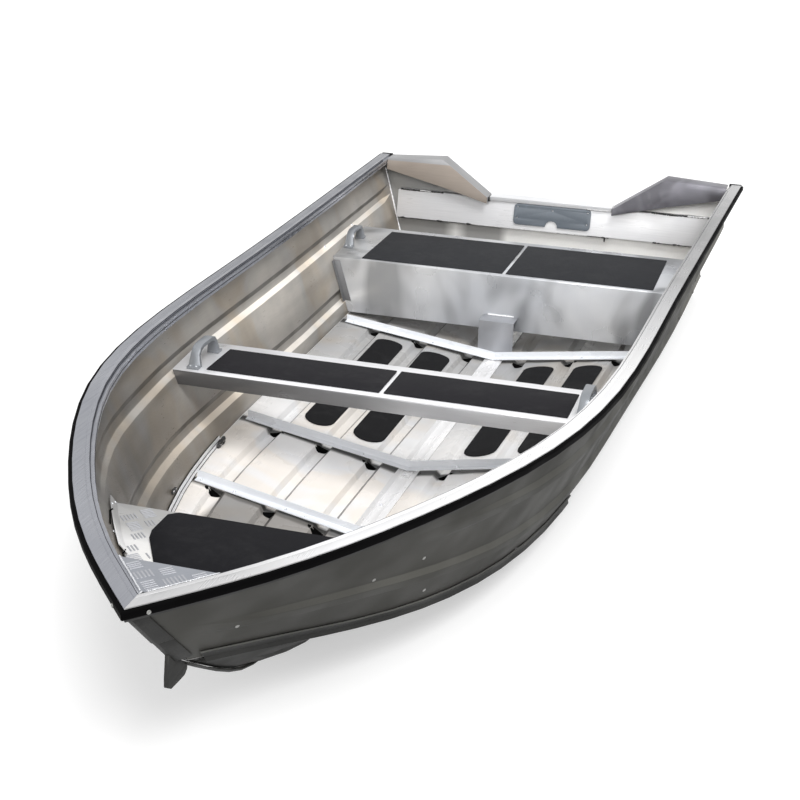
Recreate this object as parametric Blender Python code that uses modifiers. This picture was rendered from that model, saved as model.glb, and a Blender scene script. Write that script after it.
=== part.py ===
"""Aluminium dinghy: pressed sheet hull with a shallow V bottom, extruded gunwales and three thwarts.

Metres. X runs forward from amidships, Y to port, Z up from the surface of the water.
The pressed sheets take the most skill: their swages and floor grooves follow the lines of the hull.
"""
import math

import bmesh
import bpy
import numpy as np

# Driving sizes
LENGTH = 3.65
HALF_BEAM = 0.70
SHEER_HEIGHT = 0.415
DRAFT = 0.060
TRANSOM_X = -1.65
RAKE = math.tan(math.radians(12))
SHEET = 0.002
GAP = 0.0003
DEPTH = SHEER_HEIGHT + DRAFT

GUNWALE_WIDTH = 0.043
GUNWALE_LEG = 0.026
SWAGE_WIDTH = 0.052
SWAGE_DEPTH = 0.010
GROOVE_WIDTH = 0.046
GROOVE_DEPTH = 0.014

FRAME_X = {"fore": 0.75, "middle": 0.300, "aft": -0.722}
FRAME_SIZE = 0.022
MID_THWART_X = (0.385, 0.614)
MID_THWART_TOP = 0.327
STERN_THWART_X = (-1.21, -0.79)
STERN_THWART_TOP = 0.238
BOW_THWART_X = 1.385
BOW_THWART_TOP = 0.334
MID_HANDLE_INSET = 0.051
STERN_HANDLE_INSET = 0.020
BREASTHOOK_X = TRANSOM_X + LENGTH - 0.172
NOTCH_HALF = 0.240
NOTCH_HEIGHT = SHEER_HEIGHT - 0.117
PEAK_HALF = HALF_BEAM * 0.614
PEAK_HEIGHT = SHEER_HEIGHT + 0.009

# Lines of the hull: station as a share of the length, half breadth as a share of the half beam,
# height above the keel as a share of the depth at the transom.
SHEER = [(0.0, 1.0, 1.0), (0.15, 0.969, 1.018), (0.30, 0.939, 1.036), (0.45, 0.912, 1.060),
         (0.60, 0.886, 1.086), (0.75, 0.765, 1.116), (0.87, 0.499, 1.130), (0.95, 0.230, 1.134),
         (1.0, 0.0, 1.135)]
CHINE = [(0.0, 0.807, 0.168), (0.2548, 0.779, 0.200), (0.411, 0.740, 0.250), (0.5356, 0.710, 0.298),
         (0.6575, 0.650, 0.330), (0.7425, 0.543, 0.374), (0.8274, 0.350, 0.467), (0.8904, 0.160, 0.575),
         (0.9452, 0.026, 0.690)]
KEEL = [(0.0, 0.0), (0.2548, 0.026), (0.5356, 0.092), (0.6575, 0.118), (0.767, 0.156),
        (0.822, 0.211), (0.8696, 0.312), (0.9041, 0.463), (0.9452, 0.688)]
# Centres of the floor grooves as shares of the way from keel to chine, and the flats that take mats
GROOVES = (((0, 0.135), (1, 0.234)), ((0, 0.440), (0.56, 0.487), (1, 0.575)),
           ((0, 0.764), (0.56, 0.787), (0.70, 0.825), (0.80, 0.835), (1, 0.80)))
MAT_SHARES = {"inner": (0.229, 0.414), "outer": (0.536, 0.710)}
SHARES = [0.0, 0.006, 0.03, 0.08, 0.15, 0.22, 0.29, 0.36, 0.43, 0.49, 0.55, 0.60, 0.645, 0.685, 0.72,
          0.755, 0.785, 0.815, 0.84, 0.865, 0.89, 0.91, 0.93, 0.95, 0.965, 0.98, 0.99, 1.0]


def clear_scene():
    for thing in list(bpy.data.objects):
        bpy.data.objects.remove(thing, do_unlink=True)


def fair(xs, ys):
    """Natural cubic through the stations, the way a batten lies through its weights."""
    x = np.asarray(xs, float)
    y = np.asarray(ys, float)
    n = len(x)
    h = np.diff(x)
    a = np.eye(n)
    r = np.zeros(n)
    for i in range(1, n - 1):
        a[i, i - 1:i + 2] = h[i - 1], 2 * (h[i - 1] + h[i]), h[i]
        r[i] = 6 * ((y[i + 1] - y[i]) / h[i] - (y[i] - y[i - 1]) / h[i - 1])
    m = np.linalg.solve(a, r)

    def at(v):
        i = int(np.clip(np.searchsorted(x, v) - 1, 0, n - 2))
        before = x[i + 1] - v
        after = v - x[i]
        w = h[i]
        return (m[i] * before ** 3 + m[i + 1] * after ** 3) / (6 * w) \
            + (y[i] / w - m[i] * w / 6) * before + (y[i + 1] / w - m[i + 1] * w / 6) * after
    return at


def stations(rows):
    return [TRANSOM_X + row[0] * LENGTH for row in rows]


sheer_y = fair(stations(SHEER), [HALF_BEAM * row[1] for row in SHEER])
sheer_z = fair(stations(SHEER), [DEPTH * row[2] - DRAFT for row in SHEER])
chine_y = fair(stations(CHINE), [HALF_BEAM * row[1] for row in CHINE])
chine_z = fair(stations(CHINE), [DEPTH * row[2] - DRAFT for row in CHINE])
keel_z = fair(stations(KEEL), [DEPTH * row[1] - DRAFT for row in KEEL])


def transom_x(z):
    return TRANSOM_X + (SHEER_HEIGHT - z) * RAKE


BOW_X = TRANSOM_X + LENGTH
CHINE_FORE = TRANSOM_X + 0.9455 * LENGTH
TOP_FORE = BOW_X - 0.009
CHINE_AFT = transom_x(chine_z(TRANSOM_X))
TOP_AFT = transom_x(SHEER_HEIGHT - 0.006)
KEEL_AFT = transom_x(keel_z(TRANSOM_X))


def between(a, b, t):
    return a + (b - a) * t


def ramp(pairs, v):
    """Straight lines through a few pairs of numbers."""
    return float(np.interp(v, [p[0] for p in pairs], [p[1] for p in pairs]))


def outward(x):
    """Level direction square to the gunwale line, pointing outboard on the port side."""
    slope = (sheer_y(x + 0.001) - sheer_y(x - 0.001)) / 0.002
    size = math.hypot(1, slope)
    return np.array([-slope / size, 1 / size, 0.0])


def side_top(s):
    """Upper edge of the side sheet, inside the outer leg of the gunwale."""
    x = between(TOP_AFT, TOP_FORE, s)
    edge = np.array([x, sheer_y(x), sheer_z(x) - 0.006])
    edge -= outward(x) * (0.0025 + GAP)
    edge[1] = max(edge[1], 0.006)
    return edge


def chine(s):
    x = between(CHINE_AFT, CHINE_FORE, s)
    return np.array([x, max(chine_y(x), 0.006), chine_z(x)])


def keel(s):
    x = between(KEEL_AFT, CHINE_FORE, s)
    return np.array([x, 0.004, keel_z(x)])


def side_foot(s):
    """Lower edge of the side sheet, just above the edge of the bottom sheet."""
    low = chine(s)
    up = side_top(s) - low
    return low + up / np.linalg.norm(up) * (SHEET + 0.0012)


def pressed(foot, head, s, centres, half, crest, depths):
    """Points across a sheet from foot to head, with trapezoid pressings away from the inside."""
    here = head(s) - foot(s)
    reach = np.linalg.norm(here)
    low = max(s - 0.01, 0.0)
    high = min(s + 0.01, 1.0)
    along = (foot(high) + head(high)) - (foot(low) + head(low))
    normal = np.cross(along, here)
    normal /= np.linalg.norm(normal)
    points = [foot(s)]
    width = min(half, reach * 0.13)
    for centre, depth in zip(centres, depths):
        middle = foot(s) + here * centre
        up = here / reach
        for offset, out in ((-width, 0), (-width * crest, depth), (width * crest, depth), (width, 0)):
            points.append(middle + up * offset - normal * out)
    points.append(head(s))
    return points


def side_row(s):
    lower = ramp([(0, 0.17), (0.4, 0.17), (0.6, 0.205), (0.72, 0.25), (0.78, 0.28), (0.845, 0.34),
                  (0.89, 0.385), (0.93, 0.41), (1, 0.43)], s)
    upper = ramp([(0, 0.66), (0.7, 0.66), (0.8, 0.72), (1, 0.78)], s)
    deep_lower = SWAGE_DEPTH * ramp([(0, 0), (0.006, 0), (0.03, 1), (0.94, 1), (0.985, 0), (1, 0)], s)
    deep_upper = SWAGE_DEPTH * ramp([(0, 0), (0.006, 0), (0.03, 1), (0.77, 1), (0.87, 0), (1, 0)], s)
    return pressed(side_foot, side_top, s, (lower, upper), SWAGE_WIDTH / 2, 0.45,
                   (deep_lower, deep_upper))


def bottom_row(s):
    centres = [ramp(line, s) for line in GROOVES]
    fades = (0.93, 0.87, 0.82)
    depths = [GROOVE_DEPTH * ramp([(0, 0), (0.006, 0), (0.03, 1), (f - 0.06, 1), (f, 0), (1, 0)], s)
              for f in fades]
    return pressed(keel, chine, s, centres, GROOVE_WIDTH / 2, 0.55, depths)


def material(name, colour, metallic, roughness):
    made = bpy.data.materials.new(name)
    made.use_nodes = True
    shader = made.node_tree.nodes["Principled BSDF"]
    shader.inputs["Base Color"].default_value = (*colour, 1)
    shader.inputs["Metallic"].default_value = metallic
    shader.inputs["Roughness"].default_value = roughness
    return made


FINISH = {"bare": ((0.78, 0.78, 0.79), 1.0, 0.35), "hull": ((0.62, 0.62, 0.62), 1.0, 0.42),
          "bright": ((0.86, 0.86, 0.87), 1.0, 0.28), "cast": ((0.36, 0.37, 0.40), 0.9, 0.45),
          "rubber": ((0.02, 0.02, 0.02), 0.0, 0.6), "mat": ((0.035, 0.035, 0.04), 0.0, 0.85),
          "pad": ((0.16, 0.18, 0.22), 0.0, 0.55)}


def finish(thing, name, kind, smooth=False):
    """Name a solid, give it its own material and file it with the boat."""
    thing.name = name
    thing.data.name = name
    thing.data.materials.clear()
    thing.data.materials.append(material(name + "_" + kind, *FINISH[kind]))
    for face in thing.data.polygons:
        face.use_smooth = smooth
    for home in list(thing.users_collection):
        home.objects.unlink(thing)
    BOAT.objects.link(thing)
    return thing


def from_faces(points, faces):
    mesh = bpy.data.meshes.new("blank")
    mesh.from_pydata([tuple(p) for p in points], [], faces)
    work = bmesh.new()
    work.from_mesh(mesh)
    bmesh.ops.remove_doubles(work, verts=work.verts, dist=1e-6)
    bmesh.ops.recalc_face_normals(work, faces=work.faces)
    work.to_mesh(mesh)
    work.free()
    thing = bpy.data.objects.new("blank", mesh)
    BOAT.objects.link(thing)
    return thing


def loft(rings):
    """Closed solid through rings of points, with flat ends."""
    count = len(rings[0])
    points = [p for ring in rings for p in ring]
    faces = [list(range(count)), list(range(len(points) - count, len(points)))[::-1]]
    for i in range(len(rings) - 1):
        for j in range(count):
            k = (j + 1) % count
            faces.append([i * count + j, i * count + k, (i + 1) * count + k, (i + 1) * count + j])
    return from_faces(points, faces)


def pressed_sheet(name, row, side, kind):
    """Open pressed surface thickened inwards."""
    rows = [row(s) for s in SHARES]
    count = len(rows[0])
    points = [(p[0], p[1] * side, p[2]) for r in rows for p in r]
    faces = []
    for i in range(len(rows) - 1):
        for j in range(count - 1):
            quad = [i * count + j, (i + 1) * count + j, (i + 1) * count + j + 1, i * count + j + 1]
            faces.append(quad if side > 0 else quad[::-1])
    mesh = bpy.data.meshes.new(name)
    mesh.from_pydata(points, [], faces)
    thing = bpy.data.objects.new(name, mesh)
    BOAT.objects.link(thing)
    shell = thing.modifiers.new("Sheet", "SOLIDIFY")
    shell.thickness = SHEET
    shell.offset = 1
    shell.use_even_offset = False
    return finish(thing, name, kind, True)


def polyline(points, cyclic, dimensions):
    curve = bpy.data.curves.new("line", "CURVE")
    curve.dimensions = dimensions
    line = curve.splines.new("POLY")
    line.points.add(len(points) - 1)
    for slot, p in zip(line.points, points):
        slot.co = (p[0], p[1], p[2] if len(p) > 2 else 0.0, 1.0)
    line.use_cyclic_u = cyclic
    thing = bpy.data.objects.new("line", curve)
    BOAT.objects.link(thing)
    return thing


def meshed(curve):
    """The mesh of a curve object, which it replaces."""
    depsgraph = bpy.context.evaluated_depsgraph_get()
    mesh = bpy.data.meshes.new_from_object(curve.evaluated_get(depsgraph))
    mesh.transform(curve.matrix_world)
    work = bmesh.new()
    work.from_mesh(mesh)
    bmesh.ops.remove_doubles(work, verts=work.verts, dist=1e-6)
    bmesh.ops.recalc_face_normals(work, faces=work.faces)
    work.to_mesh(mesh)
    work.free()
    bpy.data.objects.remove(curve, do_unlink=True)
    thing = bpy.data.objects.new("blank", mesh)
    BOAT.objects.link(thing)
    return thing


def swept(path, profile):
    """Extrusion of a closed profile along a path; profile X lies to the right, Y up."""
    section = polyline(profile, True, "2D")
    route = polyline(path, False, "3D")
    route.data.twist_mode = "Z_UP"
    route.data.bevel_mode = "OBJECT"
    route.data.bevel_object = section
    route.data.use_fill_caps = True
    bpy.context.view_layer.update()
    solid = meshed(route)
    bpy.data.objects.remove(section, do_unlink=True)
    return solid


def cut_flat(thing, point, normal):
    """Cut the solid by a plane and close it, dropping what lies on the normal's side."""
    work = bmesh.new()
    work.from_mesh(thing.data)
    geometry = work.verts[:] + work.edges[:] + work.faces[:]
    bmesh.ops.bisect_plane(work, geom=geometry, plane_co=point, plane_no=normal, clear_outer=True)
    bmesh.ops.holes_fill(work, edges=[e for e in work.edges if e.is_boundary])
    bmesh.ops.recalc_face_normals(work, faces=work.faces)
    work.to_mesh(thing.data)
    work.free()
    return thing


def plate(outline, thickness, holes=()):
    """Flat plate of the outline in local XY, its lower face at zero."""
    curve = bpy.data.curves.new("outline", "CURVE")
    curve.dimensions = "2D"
    curve.fill_mode = "BOTH"
    curve.extrude = thickness / 2
    for loop in (outline, *holes):
        line = curve.splines.new("POLY")
        line.points.add(len(loop) - 1)
        for slot, p in zip(line.points, loop):
            slot.co = (p[0], p[1], 0.0, 1.0)
        line.use_cyclic_u = True
    thing = bpy.data.objects.new("outline", curve)
    thing.location = (0, 0, thickness / 2)
    BOAT.objects.link(thing)
    bpy.context.view_layer.update()
    return meshed(thing)


def reshape(thing, rule):
    """Move every point of a solid by a rule."""
    for vertex in thing.data.vertices:
        vertex.co = rule(*vertex.co)
    work = bmesh.new()
    work.from_mesh(thing.data)
    bmesh.ops.recalc_face_normals(work, faces=work.faces)
    work.to_mesh(thing.data)
    work.free()
    return thing


def round_edges(thing, width, segments=2, angle=40):
    edge = thing.modifiers.new("Rounding", "BEVEL")
    edge.width = width
    edge.segments = segments
    edge.limit_method = "ANGLE"
    edge.angle_limit = math.radians(angle)
    return thing


def apply_all(thing):
    depsgraph = bpy.context.evaluated_depsgraph_get()
    mesh = bpy.data.meshes.new_from_object(thing.evaluated_get(depsgraph))
    thing.modifiers.clear()
    thing.data = mesh
    return thing


def joined(first, second):
    """One solid from two that cross."""
    union = first.modifiers.new("Union", "BOOLEAN")
    union.operation = "UNION"
    union.solver = "EXACT"
    union.object = second
    bpy.context.view_layer.update()
    apply_all(first)
    bpy.data.objects.remove(second, do_unlink=True)
    return first


def arc(cx, cy, radius, start, end, count):
    turn = [math.radians(between(start, end, i / count)) for i in range(count + 1)]
    return [(cx + radius * math.cos(t), cy + radius * math.sin(t)) for t in turn]


def rounded_box(x0, y0, x1, y1, radius, count=3):
    return (arc(x1 - radius, y1 - radius, radius, 0, 90, count)
            + arc(x0 + radius, y1 - radius, radius, 90, 180, count)
            + arc(x0 + radius, y0 + radius, radius, 180, 270, count)
            + arc(x1 - radius, y0 + radius, radius, 270, 360, count))


def drawn(line):
    """A line of the hull as its sheets have it, straight between their rows."""
    points = np.array([line(s) for s in SHARES])
    return lambda s: np.array([np.interp(s, SHARES, points[:, k]) for k in range(3)])


drawn_keel = drawn(keel)
drawn_chine = drawn(chine)
drawn_foot = drawn(side_foot)
drawn_top = drawn(side_top)


def crossing(low, high, axis, x, value):
    """The place on the sheet between two lines at one station and one height or breadth."""
    s = (x - CHINE_AFT) / (CHINE_FORE - CHINE_AFT)
    for _ in range(25):
        s = min(max(s, 0.0), 1.0)
        a = low(s)
        b = high(s)
        t = (value - a[axis]) / (b[axis] - a[axis])
        s += (x - between(a[0], b[0], t)) / (CHINE_FORE - CHINE_AFT)
    return between(a, b, t)


def inside(x, z):
    """Half breadth left inside the side sheets, leaving out the swages."""
    wall = crossing(drawn_foot, drawn_top, 2, x, z)[1]
    return max(wall - SHEET * 1.25 - 0.0006, 0.004)


def floor_z(x, y):
    """Height of the inner face of the bottom between its grooves."""
    return crossing(drawn_keel, drawn_chine, 1, x, y)[2] + SHEET * 1.04 + 0.0005


def crosswise(profile, half):
    """Folded sheet from side to side, each line of it reaching to half(x, z)."""
    port = [(x, half(x, z), z) for x, z in profile]
    starboard = [(x, -half(x, z), z) for x, z in profile]
    return loft([port, starboard])


clear_scene()
BOAT = bpy.data.collections.new("aluminium_dinghy")
bpy.context.scene.collection.children.link(BOAT)
SIDES = (("port", 1), ("starboard", -1))

# Hull sheets
for word, side in SIDES:
    pressed_sheet("hull_side_" + word, side_row, side, "hull")
    pressed_sheet("bottom_" + word, bottom_row, side, "bright")

# Keel bar outside and flat strip inside
KEEL_BAR_FORE = 0.007
KEEL_BAR_END = CHINE_FORE - 0.022
keel_xs = list(np.linspace(KEEL_AFT - 0.002, 0.9, 10)) + list(np.linspace(0.98, KEEL_BAR_END, 14))


def under_keel(x, deep):
    """The point in the boat's middle plane at a depth square under the keel line."""
    rise = (keel_z(x + 0.002) - keel_z(x - 0.002)) / 0.004
    size = math.hypot(1, rise)
    return x + deep * rise / size, keel_z(x) - deep / size


def keel_ring(x):
    """Section of the keel bar, square to its run, thinner up the forefoot."""
    deep = ramp([(0.9, 0.016), (1.35, KEEL_BAR_FORE)], x)
    half = [(0.012, 0.0012), (0.012, deep - 0.004), (0.008, deep)]
    ring = half + [(-y, d) for y, d in half[::-1]]
    under = [(*under_keel(x, d), y) for y, d in ring]
    return [(px, y, pz) for px, pz, y in under]


finish(loft([keel_ring(x) for x in keel_xs]), "keel_bar", "hull", False)
strip_xs = list(np.linspace(KEEL_AFT + 0.05, 1.30, 16))
strip = swept([(x, 0, floor_z(x, 0.030) + 0.0003) for x in strip_xs],
              [(-0.030, 0.0), (0.030, 0.0), (0.030, 0.0025), (0.016, 0.0025), (0.016, 0.0038),
               (0.012, 0.0038), (0.012, 0.0025), (-0.012, 0.0025), (-0.012, 0.0038), (-0.016, 0.0038),
               (-0.016, 0.0025), (-0.030, 0.0025)])
finish(strip, "keel_strip", "bright", False)
STRIP_TOP = 0.0042


# Stem, a folded cap over the fore edges of the sheets
def stem_ring(z, nose, leg, thick):
    """Level chevron around the fore edges of the side sheets at one height."""
    share = (z - side_foot(1.0)[2]) / (side_top(1.0)[2] - side_foot(1.0)[2])
    end = between(side_foot(1.0), side_top(1.0), share)
    back = crossing(drawn_foot, drawn_top, 2, end[0] - 0.032, z)
    along = np.array([end[0] - back[0], end[1] - back[1]])
    along /= np.linalg.norm(along)
    out = np.array([-along[1], along[0]])
    clear = 0.0010
    corner = np.array([end[0], end[1]]) + along * 0.002
    inner_end = corner + out * clear - along * leg
    outer_end = inner_end + out * thick
    shoulder = corner + out * (clear + thick) + along * 0.004
    inner = corner + out * clear
    half = [(inner_end, 1), (outer_end, 1), (shoulder, 1), (np.array([shoulder[0] + nose, 0.006]), 1)]
    ring = [(p[0], p[1], z) for p, _ in half]
    ring += [(p[0], -p[1], z) for p, _ in half[::-1]]
    ring += [(inner[0], -inner[1], z), (inner[0] + 0.001, 0.0, z), (inner[0], inner[1], z)]
    return ring


STEM_FOOT = chine(1.0)[2] + 0.0115
STEM_HEAD = sheer_z(BOW_X) - GUNWALE_LEG - 0.002
STEM_JOINT = between(STEM_FOOT, STEM_HEAD, 0.43)
upper = loft([stem_ring(z, 0.011, 0.016, 0.0028) for z in np.linspace(STEM_JOINT + 0.0006, STEM_HEAD, 4)])
finish(upper, "stem_head", "hull")
lower = loft([stem_ring(z, 0.009, 0.016, 0.0022) for z in np.linspace(STEM_FOOT, STEM_JOINT - 0.0006, 4)])
finish(lower, "stem_foot", "hull")

# Bow eye plate, welded under the stem and the end of the keel bar
seat = [(stem_ring(z, 0.009, 0.016, 0.0022)[3][0] + GAP, z) for z in (STEM_FOOT + 0.024, STEM_FOOT)]
free = [(CHINE_FORE + x, STEM_FOOT + z) for x, z in
        ((0.057, -0.021), (0.058, -0.038), (0.046, -0.0465), (0.010, -0.050), (-0.011, -0.0515),
         (-0.022, -0.0445))]
below_bar = KEEL_BAR_FORE + GAP * 2
welded = [under_keel(KEEL_BAR_END + x, deep) for x, deep in
          ((-0.006, below_bar), (0.001, below_bar), (0.001, 0.0015), (0.021, 0.0015))]
eye = plate([seat[0]] + free + welded + [(CHINE_FORE + 0.012, STEM_FOOT - 0.0008),
                                         (seat[1][0], STEM_FOOT - 0.0004)], 0.009)
reshape(eye, lambda x, y, z: (x, z - 0.0045, y))
finish(round_edges(eye, 0.0015, 2), "bow_eye_plate", "hull")

# Chine extrusions outside, forward of amidships
CHINE_CAP_X = 0.550
JOINER_X = (0.495, 1.34)


def chine_axes(s):
    """The chine at one station with the ways up the side, to the keel, and square out of each sheet."""
    corner = chine(s)
    up = side_top(s) - corner
    up /= np.linalg.norm(up)
    down = keel(s) - corner
    down /= np.linalg.norm(down)
    ahead = chine(min(s + 0.01, 1)) - chine(s - 0.01)
    ahead /= np.linalg.norm(ahead)
    face = np.cross(up, ahead)
    face /= np.linalg.norm(face)
    sole = np.cross(ahead, down)
    sole /= np.linalg.norm(sole)
    return corner, up, down, face, sole


def joiner_ring(s, side):
    """Section of the inner joiner, an angle with a bead along each edge."""
    corner, up, down, face, sole = chine_axes(s)
    corner = corner - (face + sole) * (SHEET + 0.0009) / (1 + face @ sole)
    fold = corner - (face + sole) * 0.0016 / (1 + face @ sole)
    ring = [corner, corner + up * 0.011, corner + up * 0.011 - face * 0.003,
            corner + up * 0.008 - face * 0.003, corner + up * 0.0075 - face * 0.0016, fold,
            corner + down * 0.005 - sole * 0.0016, corner + down * 0.0055 - sole * 0.003,
            corner + down * 0.0085 - sole * 0.003, corner + down * 0.0085]
    return [(p[0], p[1] * side, p[2]) for p in ring]


def cap_ring(s, side):
    corner, up, down, face, sole = chine_axes(s)
    near = GAP + 0.0009
    far = near + 0.0028
    reach = ramp([(0.88, 0.022), (0.935, 0.029), (1, 0.032)], s)
    under = min(0.018, np.linalg.norm(keel(s) - corner) * 0.5)
    ring = [corner + face * near + up * reach, corner + face * (far + 0.0015) + up * reach,
            corner + face * (far + 0.0015) + up * (reach - 0.005), corner + face * far + up * (reach - 0.006),
            corner + face * far + up * 0.004, corner + face * (far + 0.002) + sole * (far + 0.001),
            corner + sole * far + down * under, corner + sole * near + down * under,
            corner + face * near + sole * near]
    return [(p[0], p[1] * side, p[2]) for p in ring]


first = (CHINE_CAP_X - CHINE_AFT) / (CHINE_FORE - CHINE_AFT)
for word, side in SIDES:
    cap = loft([cap_ring(s, side) for s in [first] + [s for s in SHARES if first + 0.01 < s < 0.995]])
    finish(cap, "chine_extrusion_" + word, "hull")
    ends = [(x - CHINE_AFT) / (CHINE_FORE - CHINE_AFT) for x in JOINER_X]
    inner = [s for s in SHARES if ends[0] + 0.01 < s < ends[1] - 0.01]
    joiner = loft([joiner_ring(s, side) for s in [ends[0], *inner, ends[1]]])
    finish(joiner, "chine_joiner_" + word, "bright")

# Gunwales with their rubbing fenders and end caps
GUNWALE = [(0, 0), (0, -GUNWALE_LEG), (0.0025, -GUNWALE_LEG), (0.0025, -0.0025), (0.0315, -0.0025),
           (0.0315, -0.0085), (0.0405, -0.0085), (0.0405, -0.024), (GUNWALE_WIDTH, -0.024),
           (GUNWALE_WIDTH, -0.006), (0.034, -0.006), (0.034, 0), (0.026, 0), (0.0255, -0.0008),
           (0.0245, -0.0008), (0.024, 0)]
FENDER = [(-GAP, -0.002), (-GAP, -0.0185), (-0.006, -0.0185), (-0.0085, -0.0155), (-0.0085, -0.0045),
          (-0.006, -0.002)]
rail_xs = [TRANSOM_X - 0.010] + [side_top(s)[0] for s in SHARES[2:]] + [BOW_X - 0.004]
rail = [(x, sheer_y(x), sheer_z(x)) for x in rail_xs]
tip = outward(BOW_X - 0.004)
for past in (0.03, 0.06):
    rail.append((rail_xs[-1] + tip[1] * past, sheer_y(rail_xs[-1]) - tip[0] * past, sheer_z(rail_xs[-1])))
for word, side in SIDES:
    path = [(p[0], p[1] * side, p[2]) for p in rail][::side]
    for name, profile, kind in (("gunwale_", GUNWALE, "bare"), ("fender_", FENDER, "rubber")):
        solid = swept(path, profile)
        cut_flat(solid, (0, side * GAP / 2, 0), (0, -side, 0))
        cut_flat(solid, (TRANSOM_X - 0.002, 0, 0), (-1, 0, 0))
        finish(solid, name + word, kind)
    block = plate(rounded_box(-0.0012, -GUNWALE_LEG - 0.0015, GUNWALE_WIDTH + 0.001, 0.0008, 0.003), 0.012)
    reshape(block, lambda x, y, z, k=side: (TRANSOM_X - 0.0023 - z, k * (HALF_BEAM - x), SHEER_HEIGHT + y))
    finish(round_edges(block, 0.0015, 2), "gunwale_end_cap_" + word, "rubber")

# Breasthook plate between the gunwales at the bow
hook_z = sheer_z(BREASTHOOK_X) - 0.0062


def lip(x):
    """Inner edge of the gunwale at one station."""
    y = sheer_y(x) - GUNWALE_WIDTH * 1.02
    for _ in range(6):
        direction = outward(x)
        y = sheer_y(x) - (GUNWALE_WIDTH + 0.0012) / direction[1]
    return y


hook_fore = BREASTHOOK_X
while lip(hook_fore + 0.004) > 0.004 and hook_fore < BOW_X - 0.03:
    hook_fore += 0.004
hook_xs = list(np.linspace(BREASTHOOK_X, hook_fore, 5))
hook_outline = [(x, lip(x)) for x in hook_xs] + [(x, -lip(x)) for x in hook_xs[::-1]]
hook = plate(hook_outline, 0.003)
reshape(hook, lambda x, y, z: (x, y, hook_z - 0.003 + z))
finish(hook, "breasthook", "bare")

# Bow thwart of tread plate with its aft flange, and its mat
bow_xs = list(np.linspace(BOW_THWART_X, BREASTHOOK_X + 0.002, 9))
bow_outline = [(x, inside(x, BOW_THWART_TOP - 0.003)) for x in bow_xs]
bow_outline += [(x, -y) for x, y in bow_outline[::-1]]
bow = plate(bow_outline, 0.003)
reshape(bow, lambda x, y, z: (x, y, BOW_THWART_TOP - 0.003 + z))
fall = [(BOW_THWART_X, BOW_THWART_TOP - 0.032), (BOW_THWART_X + 0.0025, BOW_THWART_TOP - 0.032),
        (BOW_THWART_X + 0.0025, BOW_THWART_TOP - 0.001), (BOW_THWART_X, BOW_THWART_TOP - 0.001)]
flange = crosswise(fall, lambda x, z: inside(BOW_THWART_X, BOW_THWART_TOP - 0.034))
bow = joined(bow, flange)


def turned_up(x, side):
    """Section of the flange turned up at the thwart's end along the hull side."""
    root = inside(x, BOW_THWART_TOP - 0.003) - 0.007
    head = inside(x, BOW_THWART_TOP + 0.019) - 0.0045
    ring = [(root, -0.0015), (root - 0.0025, -0.0015), (head - 0.0025, 0.019), (head, 0.019)]
    return [(x, side * y, BOW_THWART_TOP + z) for y, z in ring]


turn_xs = np.linspace(BOW_THWART_X + 0.006, BOW_THWART_X + 0.200, 6)
for word, side in SIDES:
    bow = joined(bow, loft([turned_up(x, side) for x in turn_xs]))
finish(bow, "bow_thwart", "bare")

half_mat = [(0.004, 0.186), (0.020, 0.205), (0.095, 0.205), (0.125, 0.196), (0.335, 0.075)]
bow_mat = plate(half_mat + [(x, -y) for x, y in half_mat[::-1]], 0.003)
reshape(bow_mat, lambda x, y, z: (BOW_THWART_X + x, y, BOW_THWART_TOP + GAP + z))
finish(bow_mat, "bow_mat", "mat")


# Frames: an angle on each side of the keel, its foot forward, bridging the grooves
def frame_half(x, side):
    size = FRAME_SIZE
    foot = [(0, 0), (size, 0), (size, 0.0028), (0.0065, 0.0028), (0.0040, 0.004), (0.0028, 0.0065),
            (0.0028, size), (0, size)]
    lift = 0.0003
    near_y = GAP / 2
    far_y = chine_y(x + size) - 0.017
    at_keel = max(floor_z(x + size, 0.030), floor_z(x, 0.030)) + STRIP_TOP + lift
    at_chine = floor_z(x + size, far_y) + lift
    return loft([[(x + px, side * near_y, at_keel + pz) for px, pz in foot],
                 [(x + px, side * far_y, at_chine + pz) for px, pz in foot]])


for place, x in FRAME_X.items():
    for word, side in SIDES:
        finish(frame_half(x, side), "frame_" + place + "_" + word, "bright")


# Thwarts folded from sheet
def channel(x0, x1, top, fore_drop, aft_drop, thick, bend):
    """Profile of a folded seat: flange, rounded fold, top, fold and flange."""
    outer = [(x0, top - aft_drop)]
    outer += [(x0 + bend - bend * math.cos(a), top - bend + bend * math.sin(a))
              for a in (0, math.pi / 4, math.pi / 2)]
    outer += [(x1 - bend + bend * math.sin(a), top - bend + bend * math.cos(a))
              for a in (0, math.pi / 4, math.pi / 2)]
    outer += [(x1, top - fore_drop)]
    inner = [(x1 - thick, top - fore_drop), (x1 - thick, top - bend)]
    inner += [(x1 - bend, top - thick), (x0 + bend, top - thick), (x0 + thick, top - bend)]
    inner += [(x0 + thick, top - aft_drop)]
    return outer + inner


mid = crosswise(channel(*MID_THWART_X, MID_THWART_TOP, 0.040, 0.030, 0.0025, 0.005), inside)
finish(mid, "mid_thwart", "bare")
stern = crosswise(channel(*STERN_THWART_X, STERN_THWART_TOP, STERN_THWART_TOP - 0.044, 0.045, 0.0025, 0.006),
                  inside)
finish(stern, "stern_thwart", "bare")

# Seat mats
for name, (aft, fore), margins, y1, top in (
        ("mid", MID_THWART_X, (0.045, 0.024), HALF_BEAM * 0.679, MID_THWART_TOP),
        ("stern", STERN_THWART_X, (0.050, 0.013), HALF_BEAM * 0.719, STERN_THWART_TOP)):
    for word, side in SIDES:
        mat = plate(rounded_box(aft + margins[0], 0.006, fore - margins[1], y1, 0.002, 2), 0.003)
        reshape(mat, lambda x, y, z, k=side, h=top: (x, k * y, h + GAP + z))
        finish(mat, name + "_thwart_mat_" + word, "mat")


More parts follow.
